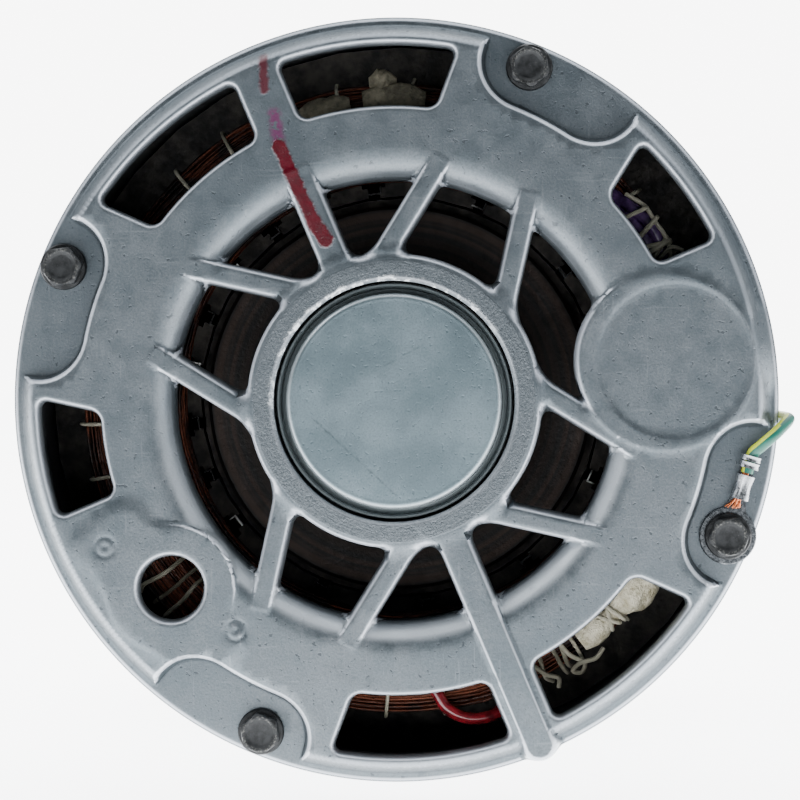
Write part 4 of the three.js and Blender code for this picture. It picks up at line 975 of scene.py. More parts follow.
def stroke(made, start, end, half, edge=0.35):
    """1 inside a brush stroke from start to end, with a ragged edge."""
    run = (end[0] - start[0], end[1] - start[1])
    length = run[0] ** 2 + run[1] ** 2
    px, pz = made.x - start[0], made.z - start[1]
    share = made.node("ShaderNodeClamp", None, {0: (px * run[0] + pz * run[1]) / length})
    share = Signal(made, share.outputs[0])
    dx, dz = px - share * run[0], pz - share * run[1]
    away = made.sum("SQRT", dx * dx + dz * dz)
    ragged = away + made.noise(1.1, 3, 0.6) * 1.3 - 0.65
    return made.ramp(ragged, half + edge, half - edge)


def away_from(made, place):
    """Distance from a line along Y at place."""
    dx, dz = made.x - place[0], made.z - place[1]
    return made.sum("SQRT", dx * dx + dz * dz)


rear_cast = cast_finish("cast_aluminium_rear")
from_axis = rear_cast.radius()
turned_ring = rear_cast.ramp(from_axis, HUB - 1.4, HUB - 1.9)
tool_marks = rear_cast.sum("SINE", from_axis * 9)
# Painted highlight: a pale band round the bell mouth, strongest towards the lower left, where it also has less metal
# sheen.
mouth_highlight = rear_cast.ramp(from_axis, 46.5, 48) * rear_cast.ramp(from_axis, 56, 54)
mouth_highlight = mouth_highlight * rear_cast.ramp(rear_cast.y, FACE + 0.2, FACE + 1.1)
mouth_highlight = mouth_highlight * rear_cast.ramp(rear_cast.y, FACE + 5.5, FACE + 2.5)
mouth_highlight = mouth_highlight * rear_cast.ramp(rear_cast.z - rear_cast.x * 0.3, 25, -30, 0.2, 1.0)
streak = rear_cast.ramp(rear_cast.noise(2, 4, 0.75), 0.5, 0.62) * rear_cast.ramp(from_axis, 27.3, 26.6)
# Painted shade: surfaces sunk more than 3.4 mm below the face, outside radius 60, are darkened.
recess_shade = rear_cast.ramp(rear_cast.y, FACE + 3.4, FACE + 4.6) * rear_cast.ramp(from_axis, 60, 64)
ring_grain = rear_cast.ramp(rear_cast.noise(0.35, 3, 0.75), 0.3, 0.7)
tint = rear_cast.mix(recess_shade * 0.15, rear_cast.tint, (0.075, 0.092, 0.105))
tint = rear_cast.mix(mouth_highlight * 0.62, tint, (0.46, 0.50, 0.535))
tint = rear_cast.mix(turned_ring * 0.75, tint, rear_cast.mix(ring_grain, (0.065, 0.078, 0.088), (0.15, 0.168, 0.182)))
streak = streak * rear_cast.ramp(rear_cast.z - rear_cast.x * 0.4, 2, 16)
tint = rear_cast.mix(streak * 0.8, tint, (0.7, 0.74, 0.76))
red = stroke(rear_cast, (-24.6, 54.6), (-20.6, 45.7), 1.5)
for first, last, half in (((-20.6, 45.7), (-17.0, 38.2), 1.45), ((-17.0, 38.2), (-14.6, 34.6), 1.7)):
    red = rear_cast.sum("MAXIMUM", red, stroke(rear_cast, first, last, half))
purple = stroke(rear_cast, (-25.6, 61.2), (-24.6, 55.4), 1.25, 0.8)
dab = stroke(rear_cast, (-28.0, 73.4), (-27.7, 66.6), 0.95, 0.5)
worn_paint = rear_cast.ramp(rear_cast.noise(1.6, 3, 0.6), 0.36, 0.5)
tint = rear_cast.mix(purple * worn_paint * 0.85, tint, (0.16, 0.035, 0.11))
tint = rear_cast.mix(dab * 0.9, tint, (0.07, 0.005, 0.012))
tint = rear_cast.mix(red, tint, rear_cast.mix(rear_cast.noise(1.8), (0.022, 0.0006, 0.0025), (0.085, 0.002, 0.009)))
film = rear_cast.sum("MAXIMUM", red, dab * 0.6)
# Less metal sheen on the pale edges, so that they read brighter along with their painted highlight.
edge_highlight = rear_cast.ramp(rear_cast.worn, 0.2, 0.9) * 0.35
rear_cast.paint(Base_Color=tint, Roughness=rear_cast.rough - film * 0.2,
                Metallic=0.8 - edge_highlight - mouth_highlight * 0.3 - film * 0.8)
burr = turned_ring * rear_cast.noise(0.7, 3, 0.7)
rear_cast.bump(rear_cast.relief + burr * 0.9 + turned_ring * tool_marks * 0.025 + film * 1.3, 0.14)
piece("rear_shield_casting", shield_shape, rear_cast, "motor",
      "cast_aluminium", ["rear_end_shield"], 50, {"wear_highlight_and_shade": wear_highlight_and_shade})

# %% [markdown]
# ### The bearing cap
# A pressed plate closes the bearing: a flat disc whose rounded edge carries a painted highlight, set in a groove
# painted dark as shade.

# %% Bearing cap
cap_finish = Finish("cap_plate", (0.3, 0.37, 0.4), 0.75, 0.36)
cap_speck = cap_finish.ramp(cap_finish.noise(0.9, 2, 0.5), 0.60, 0.70)
cap_cloud = cap_finish.noise(12, 4, 0.6)
# Painted highlight on the cap's rounded edge.
edge_highlight = cap_finish.ramp(cap_finish.radius(), 22.0, 22.9)
cap_tint = cap_finish.mix(cap_finish.ramp(cap_cloud, 0.35, 0.7), (0.135, 0.183, 0.205), (0.18, 0.235, 0.262))
cap_grain = cap_finish.ramp(cap_finish.noise(0.45, 3, 0.6), 0.35, 0.7, 0.0, 0.4)
cap_tint = cap_finish.mix(cap_grain, cap_tint, (0.08, 0.112, 0.128))
cap_tint = cap_finish.mix(cap_speck * 0.4, cap_tint, (0.07, 0.10, 0.112))
cap_tint = cap_finish.mix(cap_finish.sum("MAXIMUM", stroke(cap_finish, (-17.6, -3.5), (0.4, -20.0), 0.02, 0.4) * 0.8,
                                         stroke(cap_finish, (-4.0, 6.5), (6.0, 12.0), 0.0, 0.3) * 0.5),
                          cap_tint, (0.045, 0.06, 0.065))
cap_tint = cap_finish.mix(edge_highlight * 0.7, cap_tint, (0.62, 0.69, 0.72))
# Painted shade: the cap's flange beyond its edge, down in the groove, is darkened.
groove_shade = cap_finish.ramp(cap_finish.radius(), 22.9, 23.5)
cap_tint = cap_finish.mix(groove_shade * 0.85, cap_tint, (0.035, 0.046, 0.048))
cap_finish.paint(Base_Color=cap_tint, Roughness=cap_finish.ramp(cap_cloud, 0.3, 0.7, 0.3, 0.42))
cap_finish.bump(cap_speck * -0.4 + cap_finish.noise(7, 4, 0.6), 0.06)
CAP_RADIUS = 23.1
cap_top = FACE - 0.4
cap_profile = [(0, cap_top), (8, cap_top), (16, cap_top), (21.2, cap_top), (21.7, cap_top + 0.02)]
cap_profile += arc(21.9, cap_top + 1.2, 1.2, 270, 360, 6)
cap_profile += [(CAP_RADIUS, FACE + 3.8), (CAP_RADIUS + 0.2, FACE + 4.1), (24.1, FACE + 4.2), (24.3, FACE + 4.0),
                (24.4, FACE + 1.9), (24.7, FACE + 1.6), (25.1, FACE + 1.6), (25.35, FACE + 1.9), (25.4, FACE + 5.1),
                (22.2, FACE + 5.1), (22.2, FACE + 0.9), (21.0, FACE + 0.5), (0, FACE + 0.5)]
cap_shape = turned(cap_profile, 160)
piece("bearing_cap_plate", cap_shape, cap_finish, "motor", "cap_plate",
      ["rear_bearing_cap"], 40)

# %% [markdown]
# ## Shapes that repeat
# One bolt, one blade or one lacing loop is modelled at the origin, pointing along +X. A Geometry
# Nodes recipe then sets out the rest at even steps round the shaft, with a little seeded play.

# %% The recipe that repeats round the shaft
around_shaft = Recipe("around_shaft", Count="Int", First="Float", Step="Float", Radius="Float", Lift="Float",
                      Play="Float", Seed="Int", Material="Material")
given = around_shaft.given
index = around_shaft.node("GeometryNodeInputIndex").outputs[0]
play = around_shaft.node("FunctionNodeRandomValue", {"data_type": "FLOAT"}, {
    "Min": around_shaft.sum("MULTIPLY", given["Play"], -1.0), "Max": given["Play"], "Seed": given["Seed"]})
turn = around_shaft.sum("MULTIPLY", index, given["Step"]) + given["First"] + play.outputs[1]
turn = around_shaft.sum("RADIANS", turn)
spot = around_shaft.node("ShaderNodeCombineXYZ", None, {
    "X": around_shaft.sum("COSINE", turn) * given["Radius"], "Y": given["Lift"],
    "Z": around_shaft.sum("SINE", turn) * given["Radius"]})
spots = around_shaft.node("GeometryNodePoints", None, {"Count": given["Count"], "Position": spot.outputs[0]})
euler = around_shaft.node("ShaderNodeCombineXYZ", None, {"Y": around_shaft.sum("MULTIPLY", turn, -1.0)})
facing = around_shaft.node("FunctionNodeEulerToRotation", None, {0: euler.outputs[0]})
copies = around_shaft.node("GeometryNodeInstanceOnPoints", None, {
    "Points": spots.outputs[0], "Instance": given["Geometry"], "Rotation": facing.outputs[0]})
around_shaft.finish(copies.outputs[0])


def ring_of(name, shape, finish, body, slot, stands_for=(), sharp=35, **values):
    """Sets out copies of a shape round the shaft as one piece."""
    mesh = bpy.data.meshes.new(name)
    mesh.from_pydata((shape.points * MM).tolist(), [], shape.faces)
    made = bpy.data.objects.new(name, mesh)
    bpy.context.scene.collection.objects.link(made)
    for key in ("Radius", "Lift"):
        values[key] = values.get(key, 0.0) * MM
    around_shaft.apply(made, **{"Play": 0.0, "Seed": 0, **values, "Material": finish.material})
    return settle(made, body, stands_for, sharp)


def stack(levels, steps=48, flats=0.0, flat_top=0.0):
    """Rings stacked along Y from (y, radius, cut) levels. cut trims a ring to the hexagon or the flat."""
    angles = np.arange(steps) * 2 * math.pi / steps
    points = []
    for y, radius, cut in levels:
        reach = np.full(steps, float(radius))
        if cut == "hex":
            reach = np.minimum(reach, flats / 2 / np.cos((angles + math.pi / 6) % (math.pi / 3) - math.pi / 6))
        if cut == "flat":
            trimmed = np.minimum(reach, flat_top / np.maximum(np.sin(angles), 0.1))
            reach = np.where(np.sin(angles) > 0.1, trimmed, reach)
        points += [(r * math.cos(a), y, r * math.sin(a)) for r, a in zip(reach, angles)]
    return skin(points, steps, ends_turned=True)


def thread(start, end, radius, pitch=0.8, steps=14):
    """A threaded rod along Y."""
    points = []
    for y in np.linspace(start, end, int((end - start) / pitch * 5)):
        for k in range(steps):
            a = 2 * math.pi * k / steps
            r = radius - 0.16 + 0.16 * math.cos(2 * math.pi * y / pitch - a)
            points.append((r * math.cos(a), y, r * math.sin(a)))
    return skin(points, steps, ends_turned=True)


# %% [markdown]
# ## Bolts and nuts
# Flanged hex screws with a dished, chamfered head, blackened and worn to bare steel on the corners.

# %% Clamping bolts
dark_steel = Finish("dark_hardware", (0.035, 0.038, 0.042), 0.7, 0.42)
steel_mottle = dark_steel.noise(1.8, 4, 0.65)
steel_grain = dark_steel.noise(0.4, 3, 0.6)
dark_tint = dark_steel.mix(dark_steel.ramp(steel_mottle, 0.35, 0.7), (0.014, 0.015, 0.016), (0.034, 0.036, 0.038))
dark_tint = dark_steel.mix(dark_steel.ramp(steel_grain, 0.6, 0.8, 0, 0.4), dark_tint, (0.13, 0.13, 0.13))
nearest = dark_steel.sum("MINIMUM", *[
    dark_steel.sum("MINIMUM", *[away_from(dark_steel, polar(BOLT_CIRCLE, BOLT_ANGLES[i])) for i in pair])
    for pair in ((0, 1), (2, 3))])
worn_edge = dark_steel.ramp(nearest, 2.9, 3.3) * dark_steel.ramp(nearest, 4.1, 3.7)
worn_edge = worn_edge * dark_steel.ramp(steel_grain, 0.48, 0.66)
dark_tint = dark_steel.mix(worn_edge * 0.5, dark_tint, (0.16, 0.16, 0.15))
dark_steel.paint(Base_Color=dark_tint, Roughness=dark_steel.ramp(steel_mottle, 0.3, 0.7, 0.4, 0.6))
dark_steel.bump(steel_grain + steel_mottle * 0.6, 0.03)
SEAT = FACE + RIM_DROP - 0.3
STUD_END = 14.0
HEX_FLATS = 7.9
head = stack([(SEAT, 4.7, ""), (SEAT - 0.25, 5.0, ""), (SEAT - 0.8, 5.0, ""), (SEAT - 1.15, 4.75, ""),
              (SEAT - 1.25, 4.45, "hex"), (SEAT - 1.6, 4.5, "hex"), (SEAT - 4.0, 4.6, "hex"),
              (SEAT - 4.25, 4.35, "hex"),
              (SEAT - 4.6, 3.75, "hex"), (SEAT - 4.62, 3.35, ""), (SEAT - 4.45, 3.1, ""), (SEAT - 4.05, 2.75, ""),
              (SEAT - 3.95, 2.3, ""), (SEAT - 3.9, 0.6, "")], 60, HEX_FLATS)
rod = stack([(SEAT - 0.2, 2.4, ""), (-14.0, 2.4, "")], 16) + thread(-14.2, STUD_END, 2.4)
screw = head + rod
ring_of("clamp_bolts", screw, dark_steel, "motor", "dark_hardware",
        ["through_bolt_1", "through_bolt_2", "through_bolt_3"], 38, Count=3, First=BOLT_ANGLES[0], Step=90.0,
        Radius=BOLT_CIRCLE)
ring_of("earth_bolt", screw, dark_steel, "motor", "dark_hardware", ["through_bolt_4"], 38,
        Count=1, First=BOLT_ANGLES[3], Step=90.0, Radius=BOLT_CIRCLE, Lift=-1.1)
nut_shape = stack([(-5.6, 5.7, ""), (-5.3, 5.9, ""), (-4.7, 5.9, ""), (-4.3, 5.2, ""), (-4.2, 4.6, "hex"),
                   (-1.75, 4.65, "hex"), (-1.4, 4.0, "hex"), (-1.4, 2.9, ""), (-1.7, 2.6, "")], 48, 8.0)
ring_of("clamp_nuts", nut_shape, dark_steel, "motor", "dark_hardware",
        ["clamp_nut_1", "clamp_nut_2", "clamp_nut_3", "clamp_nut_4"], 38, Count=4, First=BOLT_ANGLES[0],
        Step=90.0, Radius=BOLT_CIRCLE)

# %% [markdown]
# ## The ring terminal
# Tinned brass: a ring under the bolt, a seam barrel crimped on the bare strands, and two wings bent
# round the insulation. A few copper strands splay out where the barrel ends.

# %% Ring terminal
TERMINAL_Y = SEAT - 0.4
tin = Finish("tin_plate", (0.62, 0.64, 0.66), 0.95, 0.28)
# Painted highlight: the raised barrel and wings are painted much lighter than the flat ring under the bolt.
raised_highlight = tin.ramp(tin.y, TERMINAL_Y - 0.45, TERMINAL_Y - 0.8)
dull_tin = tin.mix(tin.ramp(tin.noise(0.8, 4, 0.6), 0.35, 0.7), (0.045, 0.05, 0.055), (0.14, 0.15, 0.16))
tin.paint(Base_Color=tin.mix(raised_highlight * 0.8, dull_tin, (0.46, 0.48, 0.50)),
          Roughness=tin.ramp(tin.noise(0.5, 3), 0.3, 0.7, 0.2, 0.42))
tin.bump(tin.noise(0.6, 3, 0.6), 0.05)
TERMINAL_AT = np.append(polar(BOLT_CIRCLE, BOLT_ANGLES[3]), 0)
TERMINAL_WAY = 74.0


def on_terminal(shape):
    """Moves a shape from the terminal's own axes, +X along it, to its place under the earth bolt."""
    shape.points = swung(shape.points, TERMINAL_WAY) + (TERMINAL_AT[0], 0, TERMINAL_AT[1])
    return shape


def crimp(start, end, outer, inner, y, dent=0.35, steps=26, slots=14):
    """A rolled sheet sleeve along X with a seam that curls in on its open side."""
    points = []
    for i in range(slots):
        t = i / (slots - 1)
        pinch = 1 - dent * 0.4 * math.sin(math.pi * t) ** 2
        for radius in (outer, inner):
            for k in range(steps):
                a = 2 * math.pi * k / steps
                seam = math.exp(-((a - 1.5 * math.pi) / 0.33) ** 2)
                r = radius * (pinch - dent * seam * (0.6 + 0.4 * math.sin(math.pi * t)))
                points.append((start + (end - start) * t, y + r * math.sin(a), r * 1.08 * math.cos(a)))
    ring = 2 * steps
    faces = []
    for i in range(slots - 1):
        for k in range(steps):
            n = (k + 1) % steps
            a, b = i * ring, (i + 1) * ring
            faces.append((a + k, a + n, b + n, b + k))
            faces.append((a + steps + n, a + steps + k, b + steps + k, b + steps + n))
    for end_row, flip in ((0, 1), ((slots - 1) * ring, 0)):
        for k in range(steps):
            n = (k + 1) % steps
            quad = (end_row + k, end_row + n, end_row + steps + n, end_row + steps + k)
            faces.append(tuple(reversed(quad)) if flip else quad)
    return Shape(points, faces).outward()


terminal_ring = turned([(2.75, TERMINAL_Y - 0.3), (2.9, TERMINAL_Y - 0.4), (5.9, TERMINAL_Y - 0.4),
                        (6.15, TERMINAL_Y - 0.2), (6.15, TERMINAL_Y + 0.2),
                        (5.9, TERMINAL_Y + 0.38), (2.75, TERMINAL_Y + 0.38)], 64)
neck = prism([(5.6, -2.5), (7.3, -1.9), (8.6, -1.6), (17.6, -1.5), (17.6, 1.5), (8.6, 1.6), (7.3, 1.9), (5.6, 2.5)],
             TERMINAL_Y - 0.38, TERMINAL_Y + 0.36, 0.1)
barrel = crimp(8.3, 13.6, 1.85, 1.3, TERMINAL_Y - 1.75)
wing_a = crimp(15.2, 16.5, 2.05, 1.65, TERMINAL_Y - 1.8, 0.12, 26, 6)
wing_b = crimp(16.8, 17.9, 2.05, 1.65, TERMINAL_Y - 1.8, 0.12, 26, 6)
terminal_shape = on_terminal(terminal_ring + neck + barrel + wing_a + wing_b)
terminal = piece("earth_ring_terminal", terminal_shape, tin, "motor",
                 "tin_plate", ["ring_terminal"], 30)

copper = Finish("bare_copper", (0.75, 0.26, 0.12), 1.0, 0.3)
copper.two_tone((0.34, 0.085, 0.03), (0.62, 0.22, 0.10), 0.7, low=0.35, high=0.65)
draw = np.random.default_rng(4)
strands = Shape()
for k in range(16):
    across, tall = draw.uniform(-0.9, 0.9), draw.uniform(-0.7, 0.5)
    splay = draw.uniform(1.6, 3.0)
    path = [(6.6 + draw.uniform(-0.8, 0.9), TERMINAL_Y - 0.75 - abs(tall), across * splay),
            (7.7, TERMINAL_Y - 1.3 + tall * 0.5, across * 1.3), (9.5, TERMINAL_Y - 1.75 + tall, across * 0.8),
            (14.6, TERMINAL_Y - 1.8 + tall, across * 0.9)]
    strands = strands + tube(smooth_path(path, 12), 0.17, 6)
strands = on_terminal(strands)
copper_strands = piece("earth_lead_strands", strands, copper, "motor", "copper_wire", (), 60)
lead_length * MM

# %% [markdown]
# ## Windings
# Each coil end is a bundle of enamelled wire. A recipe lays rings of wire at seeded radii and
# heights, ripples them with noise and gives them thickness. A solid core fills the bundle.

# %% The recipe for a bundle of wire
bundle = Recipe("wound_wire", Count="Int", Inner="Float", Outer="Float", Low="Float", High="Float", Wire="Float",
                Wave="Float", Seed="Int", Material="Material")
given = bundle.given
seeds = bundle.node("GeometryNodeInputIndex").outputs[0]


def drawn(low, high, extra):
    made = bundle.node("FunctionNodeRandomValue", {"data_type": "FLOAT"}, {
        2: low, 3: high, "ID": seeds, "Seed": bundle.sum("ADD", given["Seed"], extra)})
    return made.outputs[1]


height = bundle.node("ShaderNodeCombineXYZ", None, {"Y": drawn(given["Low"], given["High"], 0)})
marks = bundle.node("GeometryNodePoints", None, {"Count": given["Count"], "Position": height.outputs[0]})
loop = bundle.node("GeometryNodeCurvePrimitiveCircle", None, {"Resolution": 96, "Radius": 1.0})
tilt = bundle.node("ShaderNodeCombineXYZ", None, {
    "X": Signal(bundle, drawn(-0.012, 0.012, 7)) + math.pi / 2, "Y": drawn(0.0, 6.2, 11)})
standing = bundle.node("FunctionNodeEulerToRotation", None, {0: tilt.outputs[0]})
rings = bundle.node("GeometryNodeInstanceOnPoints", None, {
    "Points": marks.outputs[0], "Instance": loop.outputs[0], "Rotation": standing.outputs[0],
    "Scale": drawn(given["Inner"], given["Outer"], 3)})
loose = bundle.node("GeometryNodeRealizeInstances", None, {0: rings.outputs[0]})
at = bundle.node("GeometryNodeInputPosition").outputs[0]
ripple = bundle.node("ShaderNodeTexNoise", {"noise_dimensions": "4D"}, {
    "Vector": at, "W": given["Seed"], "Scale": 55.0, "Detail": 1.0})
centred = bundle.node("ShaderNodeVectorMath", {"operation": "SUBTRACT"}, {
    0: ripple.outputs["Color"], 1: (0.5, 0.5, 0.5)})
shove = bundle.node("ShaderNodeVectorMath", {"operation": "SCALE"}, {0: centred.outputs[0], "Scale": given["Wave"]})
waved = bundle.node("GeometryNodeSetPosition", None, {"Geometry": loose.outputs[0], "Offset": shove.outputs[0]})
section = bundle.node("GeometryNodeCurvePrimitiveCircle", None, {"Resolution": 5, "Radius": given["Wire"]})
wires = bundle.node("GeometryNodeCurveToMesh", {}, {"Curve": waved.outputs[0], "Profile Curve": section.outputs[0]})
bundle.finish(wires.outputs[0])


def wire_bundle(name, material, slot, **values):
    mesh = bpy.data.meshes.new(name)
    made = bpy.data.objects.new(name, mesh)
    bpy.context.scene.collection.objects.link(made)
    for key in ("Inner", "Outer", "Low", "High", "Wire", "Wave"):
        values[key] *= MM
    bundle.apply(made, **values, Material=material)
    return settle(made, "motor", (), 80)


# %% Enamelled wire and the coil ends
# The wire's colour is kept near black, partly its dark varnish and partly painted shade for the coil ends deep inside
# the motor.
enamel = Finish("copper_wire", (0.10, 0.03, 0.015), 0.55, 0.34)
lanes = enamel.node("ShaderNodeCombineXYZ", None, {
    "X": enamel.radius() * 2.1, "Y": enamel.y * 1.6, "Z": enamel.z * 0.05})
lane = Signal(enamel, enamel.node("ShaderNodeTexNoise", None, {"Vector": lanes.outputs[0], "Scale": 1.0}).outputs[0])
enamel_tint = enamel.mix(enamel.ramp(lane, 0.35, 0.75), (0.025, 0.008, 0.005), (0.20, 0.055, 0.024))
enamel_tint = enamel.mix(enamel.ramp(enamel.noise(9, 3), 0.45, 0.62), enamel_tint, (0.012, 0.008, 0.007))
enamel.paint(Base_Color=enamel_tint, Roughness=enamel.ramp(lane, 0.3, 0.7, 0.25, 0.45))
enamel.bump(lane + enamel.noise(0.8), 0.3)
MAIN_TURN = (58.8, 69.8)
START_TURN = (49.2, 56.9)
REAR_END, FRONT_END = core_low.y / MM, core_high.y / MM
seed = 1
for label, (inner, outer), rise, count, node in (("main", MAIN_TURN, 24.2, 46, "main_winding"),
                                                 ("start", START_TURN, 21.2, 26, "start_winding")):
    coil = Shape()
    for end, way in ((REAR_END, -1), (FRONT_END, 1)):
        top = end + way * rise
        coil = coil + turned([(inner + 0.6, end + way), (inner + 0.6, top - way * 3), (inner + 2.5, top - way * 0.8),
                              (outer - 2.5, top - way * 0.8), (outer - 0.6, top - way * 3),
                              (outer - 0.6, end + way)], 96)
        spans = ((inner + 0.8, outer - 0.8, top - way * 0.9, top, count),
                 (outer - 0.7, outer, end + way * 3, top - way * 2, 14),
                 (inner, inner + 0.7, end + way * 3, top - way * 2, 8))
        for low_r, high_r, low, high, strands_of in spans:
            seed += 1
            wire_bundle(f"{label}_wires_{seed}", enamel.material, "copper_wire", Count=strands_of,
                        Inner=low_r, Outer=high_r, Low=min(low, high), High=max(low, high),
                        Wire=0.36, Wave=1.7, Seed=seed)
    piece(f"{label}_coil_core", coil, enamel, "motor", "copper_wire", [node], 40)

# %% [markdown]
# Lacing cord holds each coil end together, in loops that go round its section.

# %% Lacing cord
cord_finish = Finish("cream_cord", (0.5, 0.47, 0.36), 0.0, 0.7)
cord_finish.two_tone((0.13, 0.12, 0.085), (0.58, 0.55, 0.43), 11, low=0.35, high=0.65)
cord_finish.bump(cord_finish.noise(0.35, 2, 0.6, (1, 1, 3)), 0.25)


def lacing(inner, outer, low, high, way):
    """A loop of cord in the plane through the shaft, pulled round a coil's section."""
    loop_path = [(inner - 0.7, low, 0.3), (inner - 0.6, high - way * 2, 0.1), (inner + 1.5, high + way * 0.7, 0.0),
                 ((inner + outer) / 2, high + way * 0.9, 0.2), (outer - 1.5, high + way * 0.7, 0.0),
                 (outer + 0.6, high - way * 2, -0.2), (outer + 0.7, low, -0.3)]
    return tube(smooth_path(loop_path, 26), 0.42, 8)


rear_top = REAR_END - 24.2
ring_of("lacing_rear", lacing(*MAIN_TURN, REAR_END - 3, rear_top, -1), cord_finish, "motor", "cream_sleeving", (), 60,
        Count=30, First=4.0, Step=12.0, Play=2.2, Seed=5)
ring_of("lacing_front", lacing(*MAIN_TURN, FRONT_END + 3, FRONT_END + 24.2, 1), cord_finish, "motor",
        "cream_sleeving", (), 60, Count=24, First=2.0, Step=15.0, Play=2.5, Seed=9)
extra = Shape()
for angle, kink in ((298.5, 0.4), (301.5, -0.3), (303.3, 0.5), (216.4, 0.3), (222.8, -0.2), (290.2, 0.6)):
    line = smooth_path([(58.0, rear_top + 0.5, 0), (60.5, rear_top - 0.9, kink), (65.0, rear_top - 1.2, 0.4),
                        (69.5, rear_top - 0.7, -kink), (71.3, rear_top + 2.0, 0.5)], 24)
    extra = extra + tube(swung(line, angle), 0.5, 8)
piece("lacing_ties", extra, cord_finish, "motor", "cream_sleeving", (), 60)
print("windings ready")

# %% [markdown]
# ## What shows through the vents
# Sleeved leads, a taped thermal protector and two taped splices lie on the coil end, tied with cord.

# %% Sleeves, tape and ties


def bend_to(places):
    """Turns (angle, radius, y) places into points."""
    return [(polar(r, a)[0], y, polar(r, a)[1]) for a, r, y in places]


LEAD_Y = rear_top - 2.3
red_sleeve = Finish("red_sleeve", (0.16, 0.006, 0.012), 0.0, 0.22, Coat_Weight=0.5)
red_sleeve.two_tone((0.09, 0.004, 0.008), (0.26, 0.012, 0.02), 3.0, low=0.35, high=0.65)
red_path = bend_to([(268, 62, LEAD_Y + 2), (274.5, 61.5, LEAD_Y), (277.4, 64.2, LEAD_Y - 0.9),
                    (279.2, 68.6, LEAD_Y - 1.3), (282.4, 71.6, LEAD_Y - 1.1),
                    (286.5, 72.6, LEAD_Y - 0.4), (291.5, 71, LEAD_Y + 1.2)])
red_shape = tube(smooth_path(red_path, 60), 1.35, 16)
piece("red_lead_sleeve", red_shape, red_sleeve, "motor", "red_sleeve",
      ["red_winding_lead"], 60)

violet = Finish("purple_sleeve", (0.07, 0.03, 0.12), 0.0, 0.25, Coat_Weight=0.4)
violet.two_tone((0.035, 0.015, 0.06), (0.12, 0.06, 0.19), 3.0, low=0.35, high=0.65)
purple_shape = Shape()
for shift in (-1.3, 1.3):
    purple_path = bend_to([(19, 62 + shift, LEAD_Y + 2.5), (26, 64.4 + shift, LEAD_Y + 0.2),
                           (33, 66 + shift, LEAD_Y - 0.6), (39, 65.2 + shift, LEAD_Y),
                           (46, 63.5 + shift, LEAD_Y + 2.0)])
    purple_shape = purple_shape + tube(smooth_path(purple_path, 50), 1.4, 14)
piece("purple_lead_sleeves", purple_shape, violet, "motor", "purple_sleeve",
      ["purple_winding_lead"], 60)

tape = Finish("cream_sleeving", (0.62, 0.58, 0.44), 0.0, 0.6)
folds = tape.noise(2.6, 4, 0.6)
tape.paint(Base_Color=tape.mix(tape.ramp(folds, 0.3, 0.7), (0.38, 0.34, 0.22), (0.74, 0.70, 0.55)),
           Roughness=tape.ramp(folds, 0.3, 0.7, 0.4, 0.65))
tape.bump(folds + tape.noise(0.7, 3, 0.6) * 0.5, 0.9)
# Painted shade: the splices use a darker copy of the cream tape, because they lie in shade.
shaded_tape = Finish("dull_sleeving", (0.2, 0.18, 0.12), 0.0, 0.7)
shaded_tape_folds = shaded_tape.noise(3.0, 4, 0.6)
shaded_tape.paint(Base_Color=shaded_tape.mix(shaded_tape.ramp(shaded_tape_folds, 0.3, 0.7), (0.10, 0.09, 0.06),
                                         (0.30, 0.27, 0.19)))
shaded_tape.bump(shaded_tape_folds, 0.8)


def wrapped(first, last, radius, y, widths, squash, crumple, draws, count=46, sides=28):
    """A crumpled pouch along the coil end, with a width for each place along it."""
    angles = np.linspace(first, last, count)
    path = [(polar(radius, a)[0], y, polar(radius, a)[1]) for a in angles]
    size = np.interp(np.linspace(0, 1, count), np.linspace(0, 1, len(widths)), widths)
    shape = tube(path, size, sides, squash)
    centres = np.repeat(np.array(path), sides, axis=0)
    away = shape.points - centres
    phase = draws.uniform(0, 6.3, 6)
    u = np.repeat(np.linspace(0, 1, count), sides)
    v = np.tile(np.arange(sides) * 2 * math.pi / sides, count)
    wrinkle = sum(np.sin(v * (k + 2) + phase[k] + u * (9 + 5 * k)) / (k + 2) for k in range(6))
    shape.points = centres + away * (1 + crumple * wrinkle)[:, None]
    return shape


fold_draws = np.random.default_rng(12)
pouch = wrapped(307.2, 326.5, 66.6, rear_top - 3.0, [2.2, 3.2, 3.3, 1.9, 2.4, 4.2, 4.6, 4.3, 3.0], 0.72, 0.10,
                fold_draws)
piece("thermal_protector_pouch", pouch, tape, "motor", "cream_sleeving",
      ["thermal_protector"], 70)
splices = (wrapped(84.5, 96.5, 66.0, rear_top - 2.4, [1.9, 3.3, 3.5, 3.2, 2.0], 0.75, 0.08, fold_draws)
           + wrapped(99.0, 109.0, 65.6, rear_top - 2.2, [1.6, 2.6, 2.7, 2.6, 1.5], 0.75, 0.08, fold_draws)
           + wrapped(90.0, 95.0, 69.8, rear_top - 2.6, [0.8, 2.6, 2.8, 1.2], 0.8, 0.1, fold_draws))
piece("taped_splices", splices, shaded_tape, "motor", "cream_sleeving",
      ["splice_sleeve_1", "splice_sleeve_2"], 70)


def tie(angle, radius, y, half, lean, thickness=0.5):
    """A cord pulled round something at an angle and radius, leaning along it."""
    turns = np.linspace(-0.15 * math.pi, 1.15 * math.pi, 24)
    loop = np.column_stack([radius + half * np.cos(turns), y - half * 0.8 * np.sin(turns), lean * np.cos(turns)])
    return tube(swung(loop, angle), thickness, 8)


